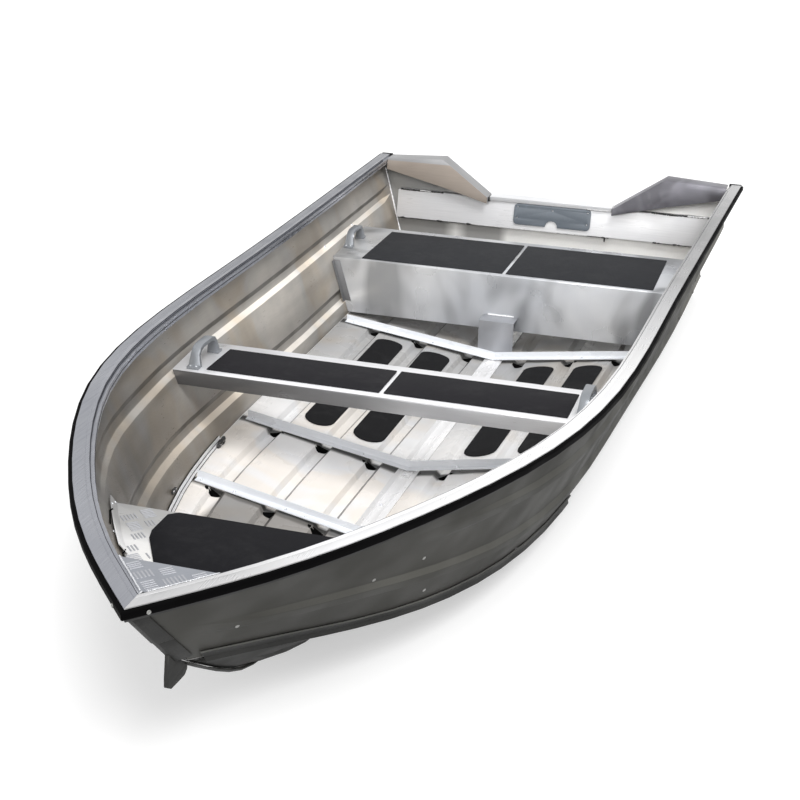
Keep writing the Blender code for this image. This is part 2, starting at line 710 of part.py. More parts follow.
# Cast grab handles on the ends of the thwarts
def handle(x, y, top, side):
    outline = [(-0.080, 0), (-0.080, 0.006), (-0.066, 0.008), (-0.059, 0.037), (-0.046, 0.051),
               (-0.028, 0.056), (0.028, 0.056), (0.046, 0.051), (0.059, 0.037), (0.066, 0.008),
               (0.080, 0.006), (0.080, 0), (0.052, 0), (0.050, 0.030), (0.040, 0.041), (0.024, 0.045),
               (-0.024, 0.045), (-0.040, 0.041), (-0.050, 0.030), (-0.052, 0)]
    solid = plate(outline, 0.024)
    reshape(solid, lambda px, py, pz: (x + px, y + side * (pz - 0.012) * (1.35 if py < 0.010 else 1.0),
                                       top + GAP + py))
    return round_edges(solid, 0.003, 2, 50)


for word, side in SIDES:
    x = sum(MID_THWART_X) / 2 + 0.0215
    y = inside(x + 0.09, MID_THWART_TOP) - MID_HANDLE_INSET
    finish(handle(x, side * y, MID_THWART_TOP, side), "mid_handle_" + word, "cast")
    x = sum(STERN_THWART_X) / 2 + 0.014
    y = inside(x + 0.09, STERN_THWART_TOP) - STERN_HANDLE_INSET
    finish(handle(x, side * y, STERN_THWART_TOP, side), "stern_handle_" + word, "cast")


# Brackets that tie the stern panel to the hull sides
def bracket_ring(z, side):
    x0 = STERN_THWART_X[1] + GAP
    wall = inside(x0 + 0.022, z) - 0.0004
    ring = [(x0, wall), (x0 + 0.022, wall), (x0 + 0.022, wall - 0.002), (x0 + 0.002, wall - 0.002),
            (x0 + 0.002, wall - 0.022), (x0, wall - 0.022)]
    return [(px, side * py, z) for px, py in ring]


for word, side in SIDES:
    heights = np.linspace(STERN_THWART_TOP - 0.153, STERN_THWART_TOP - 0.010, 3)
    bracket = loft([bracket_ring(z, side) for z in heights])
    finish(bracket, "stern_panel_bracket_" + word, "bare")

# Upright tab between the middle of the stern panel and the aft frame
tab_x = FRAME_X["aft"] - GAP - 0.0025
tab_low = floor_z(tab_x, 0.062) + STRIP_TOP + 0.012
tab_top = STERN_THWART_TOP - 0.144
tab_back = STERN_THWART_X[1] + GAP
tab = crosswise([(tab_x, tab_low), (tab_x + 0.0025, tab_low), (tab_x + 0.0025, tab_top), (tab_back, tab_top),
                 (tab_back, tab_top - 0.0025), (tab_x, tab_top - 0.0025)], lambda x, z: 0.060)
finish(tab, "keel_tab_bracket", "bare")


# Floor mats, lying between the grooves
def floor_mat(shares, x0, x1, side):
    """Mat on the flat between two grooves, round at both ends."""
    rings = []
    rounds = [0.0, 0.03, 0.12, 0.3, 0.6, 1.0]
    aft = [x0 + 0.036 * f for f in rounds]
    fore = [x1 - 0.046 * f for f in rounds[::-1]]
    for x in aft + [between(aft[-1], fore[0], t) for t in (0.25, 0.5, 0.75)] + fore:
        s = (x - CHINE_AFT) / (CHINE_FORE - CHINE_AFT)
        inner, outer = (between(drawn_keel(s)[1], drawn_chine(s)[1], share) for share in shares)
        left = min((x - x0) / 0.036, (x1 - x) / 0.046, 1)
        middle = (inner + outer) / 2
        w = (outer - inner) / 2 * max(math.sqrt(1 - (1 - left) ** 2), 0.16)
        ring = [(middle - w, 0), (middle + w, 0), (middle + w, 0.003), (middle - w, 0.003)]
        rings.append([(x, side * py, floor_z(x, py) + pz) for py, pz in ring])
    return loft(rings)


for word, side in SIDES:
    for name, shares in MAT_SHARES.items():
        mat = floor_mat(shares, FRAME_X["aft"] + 0.082, FRAME_X["middle"] - 0.098, side)
        finish(mat, "floor_mat_" + name + "_" + word, "mat")


# Transom, with a cut-out for the motor between sloped shoulders
def raked(depth):
    """Stand a plate drawn in the YZ plane on the raked transom, depth forward of its outer face."""
    return lambda y, z, x: (transom_x(z) + depth + x, y, z)


leg_y = lip(TRANSOM_X + 0.002) - 0.002
under_z = SHEER_HEIGHT - 0.028
edge_y = inside(transom_x(under_z) + 0.003, under_z)
corner_y = chine(0)[1] - 0.0045
corner_z = chine(0)[2] + 0.0060
half_outline = [(NOTCH_HALF, NOTCH_HEIGHT), (PEAK_HALF, PEAK_HEIGHT), (leg_y, SHEER_HEIGHT - 0.004),
                (leg_y, under_z), (edge_y, under_z), (corner_y, corner_z)]
outline = half_outline + [(0.0, -DRAFT + 0.0045)] + [(-y, z) for y, z in half_outline[::-1]]
board = plate(outline, 0.003)
reshape(board, raked(0.001))
finish(board, "transom_plate", "bare")

board_low = NOTCH_HEIGHT - 0.111
board_half = inside(transom_x(board_low) + 0.034, board_low) - 0.008
timber = plate(rounded_box(-board_half, board_low, board_half, NOTCH_HEIGHT - 0.005, 0.003, 2), 0.030)
reshape(timber, raked(0.0043))
finish(timber, "transom_board", "bright")

PAD_Y = 0.011
PAD_LOW = NOTCH_HEIGHT - 0.092
bolts = ((-0.136, 0.066), (-0.136, 0.025), (0.0, 0.062), (0.136, 0.066), (0.136, 0.022))
holes = [arc(PAD_Y + y, PAD_LOW + z, 0.0035, 0, 330, 11) for y, z in bolts]
corners = ((0.134, 0.063, 0, 90), (-0.134, 0.063, 90, 180), (-0.134, 0.015, 180, 270))
pad_outline = [p for y, z, start, end in corners for p in arc(PAD_Y + y, PAD_LOW + z, 0.015, start, end, 4)]
pad_outline += arc(PAD_Y, PAD_LOW, 0.024, 180, 0, 8) + arc(PAD_Y + 0.134, PAD_LOW + 0.015, 0.015, 270, 360, 4)
pad = plate(pad_outline, 0.008, holes)
reshape(pad, raked(0.0346))
finish(pad, "transom_pad", "pad")

outer_pad = plate(rounded_box(-0.165, NOTCH_HEIGHT - 0.148, 0.165, NOTCH_HEIGHT - 0.008, 0.012, 3), 0.012)
reshape(outer_pad, raked(-0.0113))
finish(round_edges(outer_pad, 0.0015, 2), "outer_motor_pad", "pad")

lid = NOTCH_HEIGHT + 0.0003
capping = crosswise([(transom_x(lid) - 0.015, lid + 0.0028), (transom_x(lid) + 0.046, lid + 0.0028),
                     (transom_x(lid) + 0.046, lid - 0.0125), (transom_x(lid) + 0.0435, lid - 0.0125),
                     (transom_x(lid) + 0.0435, lid), (transom_x(lid) - 0.0125, lid),
                     (transom_x(lid) - 0.0125, lid - 0.006), (transom_x(lid) - 0.015, lid - 0.006)],
                    lambda x, z: NOTCH_HALF - 0.003)
finish(capping, "transom_capping", "bare")


# Corner knees: folded plates from the gunwale down the shoulder to the cut-out
def knee_ring(y, top, low, side):
    depth = 0.074
    thick = 0.0025
    ring = [(0.0005, top), (depth, top), (depth, low), (depth - thick, low), (depth - thick, top - thick),
            (0.0005, top - thick)]
    return [(transom_x(z) + px, side * y, z) for px, z in ring]


for word, side in SIDES:
    reach = lip(TRANSOM_X + 0.05) - 0.001
    rings = [knee_ring(NOTCH_HALF + 0.001, NOTCH_HEIGHT + 0.0035, NOTCH_HEIGHT - 0.019, side),
             knee_ring(PEAK_HALF, PEAK_HEIGHT + 0.0035, PEAK_HEIGHT - 0.098, side),
             knee_ring(reach, SHEER_HEIGHT - 0.0002, SHEER_HEIGHT - 0.041, side)]
    finish(loft(rings), "transom_knee_" + word, "bare")

# Drain bung in the transom
bung = plate(arc(0.075, 0.064 - DRAFT, 0.013, 0, 342, 19), 0.010)
reshape(bung, raked(-0.0093))
finish(round_edges(bung, 0.0015, 2), "drain_bung", "rubber")
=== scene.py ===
"""Looks of the aluminium dinghy: mill and brushed metal, weld beads, rivets, tread pattern, mats and fenders.

Metres. X runs forward, Y to port, Z up from the surface of the water, which is the height of the floor.
"""
import math
import random

import bmesh
import bpy
import numpy as np
from mathutils import Matrix, Vector
from mathutils.bvhtree import BVHTree


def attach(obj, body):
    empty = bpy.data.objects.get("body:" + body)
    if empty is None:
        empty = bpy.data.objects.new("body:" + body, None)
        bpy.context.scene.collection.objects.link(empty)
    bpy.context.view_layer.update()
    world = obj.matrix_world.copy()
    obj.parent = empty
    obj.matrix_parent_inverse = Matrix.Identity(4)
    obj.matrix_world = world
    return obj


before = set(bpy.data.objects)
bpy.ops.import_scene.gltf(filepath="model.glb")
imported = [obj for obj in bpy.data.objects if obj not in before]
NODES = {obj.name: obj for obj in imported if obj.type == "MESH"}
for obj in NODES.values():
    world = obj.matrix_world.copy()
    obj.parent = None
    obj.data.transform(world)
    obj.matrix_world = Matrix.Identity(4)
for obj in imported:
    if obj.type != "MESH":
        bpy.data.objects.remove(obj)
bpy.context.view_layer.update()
SCENE = bpy.context.scene
SIDES = (("port", 1), ("starboard", -1))
random.seed(7)

# Camera at the photograph's place
CAMERA_AT = (3.8946, 1.005, 1.7062)
CAMERA_BACK = (0.8907, 0.2574, 0.3746)
CAMERA_UP = (-0.3523, -0.1297, 0.9268)
CAMERA_LENS = 66.6

# Light: strength of the sky, the floor's half width, shade and glow as seen, and the lamps
SKY = 0.66
FLOOR_REACH = 60.0
FLOOR_SHADE = (0.62, 0.62, 0.62, 1)
FLOOR_GLOW = 0.46
LAMPS = (("key", 2.05, 25, (0.60, 0.42, 1.0)), ("fill", 1.0, 30, (1.0, 0.15, 0.40)))

# Rays that look for the boat's surface from inside it start at this height
LOOK_FROM = 0.22
DOWN = (0, 0, -1)

# Upper faces of the tread plates
BOW_THWART_TOP = 0.334
BREASTHOOK_TOP = 0.4725

# Frames: their after edges and their width, and the painted shadows in the grooves just ahead of them
FRAMES_AT = (-0.722, 0.300, 0.750)
FRAME_WIDTH = 0.0235
GAP_SHADOW_LENGTH = 0.020
GAP_SHADOW_WIDTH = 0.021

# Transom: the corner beads' place at one height and their slope, and the board's lower and upper edge
TRANSOM_X = -1.6182
TRANSOM_Z = 0.301
TRANSOM_TILT = -0.214
BOARD_FOOT_X = -1.5668
BOARD_HEAD_X = -1.5868

# Tread: middle of one group, pitch of the groups and their number each way, bars in a group, and one bar
TREAD_START = (1.8757, -0.0294)
TREAD_PITCH = 0.044
TREAD_GROUPS = 16
BARS = 6
BAR_LENGTH = 0.025
BAR_WIDTH = 0.0038
BAR_HEIGHT = 0.0010
BAR_STEP = 0.0070

# Screws and rivets: a screw's radius and how far heads are sunk, then places at or above the surface
SCREW = 0.0042
SUNK = 0.0002
FRAME_SCREWS = (("middle", 0.309, (-0.460, -0.346, -0.193, -0.131, 0.136, 0.346, 0.460)),
                ("fore", 0.761, (-0.420, -0.330, -0.192, -0.139, 0.139, 0.330)),
                ("aft", -0.711, (-0.500, -0.376, -0.215, 0.2985, 0.500)))
KEEL_SCREWS = (0.349, 0.56, -0.10, 0.96)
FENDER_SCREW = ((1.978, 0.035, 0.4665),)
# Handles: name, middle, distance from the centreline and a height above them; then the screws in each foot
HANDLES = (("mid", 0.521, 0.510, 0.35), ("stern", -0.986, 0.590, 0.26))
FOOT_AT = 0.072
FOOT_SCREWS = 0.008
BOW_THWART_RIVETS = ((1.422, 0.3205, 0.3505), (1.396, 0.327, 0.348), (1.531, 0.262, 0.349))
SIDE_RIVETS = ((1.7556, 0.0937, 0.3278), (1.4905, 0.2678, 0.3148), (1.3792, 0.3363, 0.3186),
               (1.2883, 0.3145, 0.1941))
STERN_END_RIVETS = ((-0.771, 0.60, 0.2781), (-0.935, 0.60, 0.2741), (-1.095, 0.60, 0.2705))
AFT_RIVETS = ((-1.486, 0.101), (-1.330, 0.128), (-1.275, 0.100), (-0.930, 0.110))

# Tacks on the chine joiners, with their size; painted shadow under the board, as dark lumps, with its size;
# ends of the bow's slits
TACKS = ((0.908, 0.4286, 0.1247, 0.85), (0.525, 0.4687, 0.0882, 1.35))
BOARD_FOOT_SHADOW = ((-0.583, 1.2), (-0.435, 1.3), (-0.425, 1.0), (-0.316, 1.3), (0.213, 1.0), (0.410, 1.2),
             (0.425, 0.9), (0.486, 1.2), (0.500, 0.9))
BOW_SLITS = (((1.447, 0.3140, 0.3525), (1.524, 0.2735, 0.3605)),
             ((1.580, 0.2400, 0.3400), (1.690, 0.1780, 0.3400)))

# Colour of the warm reflections that mill metal picks up
WARMTH = (1.0, 0.90, 0.77)


# ---- materials


class Shader:
    """A Principled material under construction, with short calls for its nodes."""

    def __init__(self, name):
        self.material = bpy.data.materials.new(name)
        self.material.use_nodes = True
        self.tree = self.material.node_tree
        self.main = self.tree.nodes["Principled BSDF"]

    def add(self, kind, **settings):
        node = self.tree.nodes.new(kind)
        for key, value in settings.items():
            setattr(node, key, value)
        return node

    def link(self, source, target):
        self.tree.links.new(source, target)

    def place(self, scale=(1, 1, 1)):
        """Object coordinates, stretched."""
        where = self.add("ShaderNodeTexCoord")
        mapping = self.add("ShaderNodeMapping")
        mapping.inputs["Scale"].default_value = scale
        self.link(where.outputs["Object"], mapping.inputs["Vector"])
        return mapping.outputs["Vector"]

    def noise(self, scale, detail=3.0, stretch=(1, 1, 1), rough=0.55, distortion=0.0):
        made = self.add("ShaderNodeTexNoise")
        made.inputs["Scale"].default_value = scale
        made.inputs["Detail"].default_value = detail
        made.inputs["Roughness"].default_value = rough
        made.inputs["Distortion"].default_value = distortion
        self.link(self.place(stretch), made.inputs["Vector"])
        return made.outputs["Fac"]

    def spread(self, value, low, high, new_low, new_high):
        made = self.add("ShaderNodeMapRange")
        made.inputs["From Min"].default_value = low
        made.inputs["From Max"].default_value = high
        made.inputs["To Min"].default_value = new_low
        made.inputs["To Max"].default_value = new_high
        self.link(value, made.inputs["Value"])
        return made.outputs["Result"]

    def sum(self, a, b, operation="ADD"):
        made = self.add("ShaderNodeMath", operation=operation)
        for slot, value in zip(made.inputs, (a, b)):
            if isinstance(value, (int, float)):
                slot.default_value = value
            else:
                self.link(value, slot)
        return made.outputs["Value"]

    def mix(self, factor, a, b, blend="MIX"):
        made = self.add("ShaderNodeMix", data_type="RGBA", blend_type=blend)
        sockets = [s for s in made.inputs if s.type == "RGBA"]
        if isinstance(factor, (int, float)):
            made.inputs["Factor"].default_value = factor
        else:
            self.link(factor, made.inputs["Factor"])
        for slot, value in zip(sockets, (a, b)):
            if isinstance(value, tuple):
                slot.default_value = (*value, 1)
            else:
                self.link(value, slot)
        return [s for s in made.outputs if s.type == "RGBA"][0]

    def axis(self, output, letter):
        """One axis of the object coordinates or of the object's normal."""
        where = self.add("ShaderNodeTexCoord")
        parts = self.add("ShaderNodeSeparateXYZ")
        self.link(where.outputs[output], parts.inputs["Vector"])
        return parts.outputs[letter]

    def curve(self, value, stops):
        """Straight lines through a few (value, factor) pairs."""
        low = stops[0][0]
        high = stops[-1][0]
        ramp = self.add("ShaderNodeValToRGB")
        self.link(self.spread(value, low, high, 0, 1), ramp.inputs["Fac"])
        row = ramp.color_ramp.elements
        for k, (place, factor) in enumerate(stops):
            if k in (0, len(stops) - 1):
                element = row[0 if k == 0 else -1]
            else:
                element = row.new((place - low) / (high - low))
            element.color = (factor, factor, factor, 1)
        return ramp.outputs["Color"]

    def shade(self, tone, source, letter, stops, only=None):
        """Multiply a tone by a factor along an axis, maybe only on faces turned one way."""
        value = self.axis(source, letter)
        if source == "Object":
            value = self.sum(value, self.spread(self.noise(7, 2), 0.3, 0.7, -0.006, 0.006))
        factor = self.curve(value, stops)
        if only:
            factor = self.mix(self.spread(self.axis(*only[:2]), *only[2:], 0, 1), (1, 1, 1), factor)
        return self.mix(1.0, tone, factor, "MULTIPLY")

    def bump(self, *layers):
        """Chain of bumps, each (height, strength, distance)."""
        normal = None
        for height, strength, distance in layers:
            made = self.add("ShaderNodeBump")
            made.inputs["Strength"].default_value = strength
            made.inputs["Distance"].default_value = distance
            self.link(height, made.inputs["Height"])
            if normal is not None:
                self.link(normal, made.inputs["Normal"])
            normal = made.outputs["Normal"]
        self.link(normal, self.main.inputs["Normal"])


def stretch_along(axis):
    return tuple(0.02 if k == axis else 1.0 for k in "XYZ")


def brushed(name, light, dark, axis="X", roughness=0.34, grain=1.0, metallic=1.0, blotch=0.5, outside=None,
            shades=(), patches=None, warm=0.0):
    """Mill or brushed aluminium: fine lines along one axis, soft cloudy patches, smudges and scratches.

    outside gives the colour of the faces turned one way, as (axis, sign, colour, shades, top), where top is a
    run of heights along the boat that this colour stays below, or None. On the hull and the rails this colour
    is partly their own dark colour and partly painted shade, and its shades are painted light and shade.
    patches gives large soft reflections, as (scale, stretch, darkest).
    """
    shader = Shader(name)
    lines = shader.noise(420, 3, stretch_along(axis))
    fine = shader.noise(1300, 2, stretch_along(axis))
    clouds = shader.noise(3.2, 3, distortion=0.4)
    smudge = shader.noise(9, 1.5, rough=0.5)
    patch = shader.spread(clouds, 0.36, 0.64, 0.5 - blotch / 2, 0.5 + blotch / 2)
    tone = shader.mix(patch, light, dark)
    streak = shader.spread(lines, 0.3, 0.7, 0.0, 0.16 * grain)
    tone = shader.mix(streak, tone, tuple(c * 0.62 for c in dark))
    dull = shader.spread(smudge, 0.45, 0.75, 0.0, 0.22)
    tone = shader.mix(dull, tone, tuple(c * 0.86 for c in dark))
    if patches:
        scale, stretch, darkest = patches
        bands = shader.spread(shader.noise(scale, 2, stretch, distortion=0.5), 0.40, 0.60, 0, 1)
        tone = shader.mix(1.0, tone, shader.curve(bands, [(0, darkest), (0.55, 0.9), (1, 1)]), "MULTIPLY")
    if warm:
        glow = shader.spread(shader.noise(3.1, 2, distortion=0.8), 0.48, 0.60, 0, warm)
        tone = shader.mix(1.0, tone, shader.mix(glow, (1, 1, 1), WARMTH), "MULTIPLY")
    # Painted light and shade: the shades make the tone lighter and darker along the boat and by the way faces
    # turn
    for row in shades:
        tone = shader.shade(tone, *row)
    gloss = shader.spread(smudge, 0.35, 0.7, roughness - 0.05, roughness + 0.13)
    gloss = shader.sum(gloss, shader.spread(lines, 0.3, 0.7, -0.03 * grain, 0.04 * grain))
    if outside:
        where, sign, outer_colour, rows, top = outside
        edge = (0.4, 0.7) if where == "X" else (-0.05 * sign, 0.05 * sign)
        facing = shader.spread(shader.axis("Normal", where), *edge, 0, 1)
        if top:
            limit = shader.curve(shader.axis("Object", "X"), top)
            height = shader.sum(shader.axis("Object", "Z"), limit, "SUBTRACT")
            facing = shader.sum(facing, shader.spread(height, -0.012, -0.009, 1, 0), "MULTIPLY")
        outer_tone = shader.mix(shader.spread(clouds, 0.4, 0.6, 0, 1), outer_colour, tuple(c * 0.85 for c in outer_colour))
        outer_tone = shader.mix(shader.spread(lines, 0.3, 0.7, 0, 0.2), outer_tone, tuple(c * 1.5 for c in outer_colour))
        # Painted light and shade on the outer colour, from its own shades
        for row in rows:
            outer_tone = shader.shade(outer_tone, *row)
        tone = shader.mix(facing, tone, outer_tone)
        shader.link(shader.spread(facing, 0, 1, metallic, 0.0), shader.main.inputs["Metallic"])
        gloss = shader.sum(gloss, shader.spread(facing, 0, 1, 0, 0.28))
    else:
        shader.main.inputs["Metallic"].default_value = metallic
    shader.link(tone, shader.main.inputs["Base Color"])
    shader.link(gloss, shader.main.inputs["Roughness"])
    waves = 0.12 if outside else 0.25
    shader.bump((clouds, waves, 0.003), (lines, 0.22 * grain, 0.0003), (fine, 0.12 * grain, 0.0002))
    return shader.material


def rubber(name, colour, roughness=0.55, grain=0.25, shine=0.15):
    shader = Shader(name)
    pores = shader.noise(900, 3)
    wear = shader.noise(14, 4, rough=0.6)
    worn = tuple(min(c * 1.8 + 0.001, 1) for c in colour)
    tone = shader.mix(shader.spread(wear, 0.45, 0.72, 0, 0.55), colour, worn)
    shader.link(tone, shader.main.inputs["Base Color"])
    gloss = shader.spread(wear, 0.3, 0.7, roughness - 0.08, roughness + 0.12)
    shader.link(gloss, shader.main.inputs["Roughness"])
    shader.main.inputs["Specular IOR Level"].default_value = shine
    shader.bump((pores, grain, 0.0004), (wear, 0.1, 0.001))
    return shader.material


def matting(name, colour, axis):
    """Foam rubber matting with a fine grain drawn out one way, and dust caught in it."""
    shader = Shader(name)
    grain = shader.noise(520, 4, tuple(0.10 if k == axis else 1.0 for k in "XYZ"), rough=0.7)
    pores = shader.noise(1500, 2)
    dust = shader.noise(11, 5, rough=0.7, distortion=0.3)
    deep = tuple(c * 0.78 for c in colour)
    high = tuple(c * 1.3 for c in colour)
    tone = shader.mix(shader.spread(grain, 0.3, 0.7, 0, 1), deep, high)
    tone = shader.mix(shader.spread(dust, 0.5, 0.8, 0, 0.10), tone, (0.12, 0.12, 0.12))
    shader.link(tone, shader.main.inputs["Base Color"])
    shader.main.inputs["Roughness"].default_value = 0.82
    shader.main.inputs["Specular IOR Level"].default_value = 0.15
    shader.bump((grain, 0.5, 0.0006), (pores, 0.35, 0.0004))
    return shader.material


def cast(name, colour, metallic=0.75, roughness=0.46):
    """Cast, painted metal: fine orange peel and paler worn edges."""
    shader = Shader(name)
    peel = shader.noise(380, 3)
    wear = shader.noise(40, 4, rough=0.7)
    worn = tuple(min(c * 1.5, 1) for c in colour)
    tone = shader.mix(shader.spread(wear, 0.55, 0.75, 0, 0.5), colour, worn)
    shader.link(tone, shader.main.inputs["Base Color"])
    gloss = shader.spread(wear, 0.3, 0.7, roughness - 0.06, roughness + 0.1)
    shader.link(gloss, shader.main.inputs["Roughness"])
    shader.main.inputs["Metallic"].default_value = metallic
    shader.bump((peel, 0.3, 0.0005))
    return shader.material


def weld_metal(name, colour=(0.86, 0.87, 0.89), dirt=(0.42, 0.41, 0.40), metallic=0.6):
    shader = Shader(name)
    soot = shader.noise(60, 4, rough=0.7)
    tone = shader.mix(shader.spread(soot, 0.5, 0.75, 0, 0.7), colour, dirt)
    shader.link(tone, shader.main.inputs["Base Color"])
    shader.main.inputs["Metallic"].default_value = metallic
    shader.link(shader.spread(soot, 0.3, 0.7, 0.22, 0.42), shader.main.inputs["Roughness"])
    shader.bump((shader.noise(700, 3), 0.25, 0.0004))
    return shader.material


def dress(node, material):
    thing = NODES[node]
    for slot in thing.material_slots:
        slot.material = material
    return thing


def smooth_by_angle():
    """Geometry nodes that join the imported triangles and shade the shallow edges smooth."""
    group = bpy.data.node_groups.new("Smooth by angle", "GeometryNodeTree")
    group.interface.new_socket("Geometry", in_out="INPUT", socket_type="NodeSocketGeometry")
    group.interface.new_socket("Geometry", in_out="OUTPUT", socket_type="NodeSocketGeometry")
    angle = group.interface.new_socket("Angle", in_out="INPUT", socket_type="NodeSocketFloat")
    angle.default_value = 0.5
    nodes = group.nodes
    start = nodes.new("NodeGroupInput")
    end = nodes.new("NodeGroupOutput")
    weld = nodes.new("GeometryNodeMergeByDistance")
    weld.inputs["Distance"].default_value = 0.00001
    bare = nodes.new("GeometryNodeRemoveAttribute")
    bare.inputs["Name"].default_value = "custom_normal"
    faces = nodes.new("GeometryNodeSetShadeSmooth")
    edges = nodes.new("GeometryNodeSetShadeSmooth")
    edges.domain = "EDGE"
    turn = nodes.new("GeometryNodeInputMeshEdgeAngle")
    shallow = nodes.new("FunctionNodeCompare")
    shallow.operation = "LESS_THAN"
    join = group.links.new
    join(start.outputs["Geometry"], bare.inputs["Geometry"])
    join(bare.outputs["Geometry"], weld.inputs["Geometry"])
    join(weld.outputs["Geometry"], faces.inputs["Geometry"])
    join(faces.outputs["Geometry"], edges.inputs["Geometry"])
    join(turn.outputs["Unsigned Angle"], shallow.inputs["A"])
    join(start.outputs["Angle"], shallow.inputs["B"])
    join(shallow.outputs["Result"], edges.inputs["Shade Smooth"])
    join(edges.outputs["Geometry"], end.inputs["Geometry"])
    return group


SMOOTHING = smooth_by_angle()


def refine(node, angle=30, bevel=0.0, segments=2, bevel_angle=30):
    """Joined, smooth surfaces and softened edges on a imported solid."""
    thing = NODES[node]
    soft = thing.modifiers.new("Smooth", "NODES")
    soft.node_group = SMOOTHING
    key = [item.identifier for item in SMOOTHING.interface.items_tree if item.name == "Angle"][0]
    soft[key] = math.radians(angle)
    if bevel:
        edge = thing.modifiers.new("Edges", "BEVEL")
        edge.width = bevel
        edge.segments = segments
        edge.limit_method = "ANGLE"
        edge.angle_limit = math.radians(bevel_angle)
        edge.harden_normals = False
        again = thing.modifiers.new("Smooth after", "NODES")
        again.node_group = SMOOTHING
        again[key] = math.radians(max(angle, 40))
    return thing


# ---- the imported pieces get their finishes

# Shades, each (coordinates, axis, [(place, factor), ...]), and maybe the faces that it is only for
# Painted light on the outside: much lighter towards the stern, where the sky is reflected, and darkest
# amidships
OUTSIDE_RUN = ("Object", "X", [(-1.65, 2.3), (-1.3, 1.6), (-0.9, 0.74), (-0.3, 0.48), (0.5, 0.60), (1.2, 0.86),
                               (1.95, 1.0)])
# Painted highlight on the outside: faces turned up, such as the swages' upper flanks, lighter, and faces turned
# down darker
OUTSIDE_TURN = ("Normal", "Z", [(-0.95, 0.50), (-0.60, 0.85), (-0.45, 1.0), (-0.14, 1.05), (0.06, 1.9),
                                (0.6, 2.3)])
# Painted highlight on the dark parts' faces turned up
DARK_TURN = ("Normal", "Z", [(-0.2, 0.30), (0.30, 0.42), (0.50, 0.9), (0.75, 2.4), (1.0, 3.0)])
# Light thrown up from below shows on faces turned up, and the ones turned down stay dark
UPTURN = ("Normal", "Z", [(-0.6, 0.12), (0.0, 0.17), (0.2, 0.42), (0.44, 0.46), (0.58, 1.0), (1.0, 1.0)])
# Painted light along the inner side walls: lighter amidships and aft, darker towards the bow
WALL_RUN = ("Object", "X", [(-1.65, 1.05), (-0.9, 1.28), (-0.3, 1.28), (0.3, 1.12), (0.9, 0.80), (1.1, 0.46),
                            (1.9, 0.38)])
# Painted shade on the sole: darker aft towards the stern thwart and towards the bow
SOLE_STOPS = ((-1.6, 0.34), (-0.8, 0.36), (-0.6, 0.44), (-0.2, 0.56), (0.12, 0.85), (0.22, 1.0), (0.70, 1.0),
              (1.0, 1.0), (1.9, 0.6))
# Painted shade on the sole's flats ahead of the fore frame, under the bow thwart
SOLE_AHEAD = [(0.772, 1.0), (0.782, 0.36), (1.15, 0.34), (1.9, 0.4)]
# Painted light and shade on the gunwales: the port one darker aft and towards the bow tip, the starboard one
# darker aft and lighter on faces turned to port
PORT_RUN = ("Object", "X", [(-1.65, 0.46), (-1.0, 0.28), (-0.3, 0.36), (0.2, 0.62), (0.7, 0.95), (1.0, 1.0),
                            (1.65, 1.0), (1.84, 0.62), (2.0, 0.56)])
STARBOARD_RUN = ("Object", "X", [(-1.65, 0.72), (0.2, 0.74), (0.9, 0.94), (2.0, 0.98)])
STARBOARD_TURN = ("Normal", "Y", [(-1.0, 1.0), (0.5, 1.0), (0.9, 1.9), (1.0, 1.9)])
FACING_AHEAD = ("Normal", "X", 0.5, 0.8)
# Painted shade on the mid thwart's front face, darkest to starboard
MID_FRONT = ("Object", "Y", [(-0.6, 0.14), (-0.35, 0.15), (-0.05, 0.30), (0.10, 0.62), (0.6, 0.80)],
             FACING_AHEAD)
KNEE_FACE = ("Object", "Z", [(0.28, 0.8), (0.40, 1.05), (0.43, 1.1)])
KNEE_SHADE = ("Object", "Z", [(0.28, 0.72), (0.43, 0.80)], ("Normal", "X", 0.4, 0.8))
# Painted light on the transom board: lightest in the middle, darker towards both ends
BOARD_RUN = ("Object", "Y", [(-0.6, 0.88), (-0.3, 0.90), (-0.2, 0.98), (0.0, 0.98), (0.1, 0.94), (0.6, 0.82)])
# Painted shade on the transom plate's forward face: dark to starboard, with one lighter narrow band
TRANSOM_BANDS = ("Object", "Y", [(-0.6, 0.34), (-0.42, 0.32), (-0.37, 0.85), (-0.32, 0.36), (-0.20, 0.40),
                                 (-0.16, 1.0), (0.6, 1.0)], FACING_AHEAD)
BOW_RUN = ("Object", "X", [(1.38, 0.46), (1.47, 0.50), (1.53, 0.98), (1.70, 0.98), (1.83, 0.8)])

# Outer colours: on the sides, the bottom and the rails' outer faces, partly their own dark colour and partly
# painted shade
SIDE_OUTER_TONE_AND_SHADE = (0.045, 0.044, 0.039)
BOTTOM_OUTER_TONE_AND_SHADE = (0.016, 0.016, 0.015)
RAIL_OUTER_TONE_AND_SHADE = (0.02, 0.02, 0.02)
KNEE_PAINT = (0.305, 0.262, 0.225)
KNEE_TOP = 0.4185

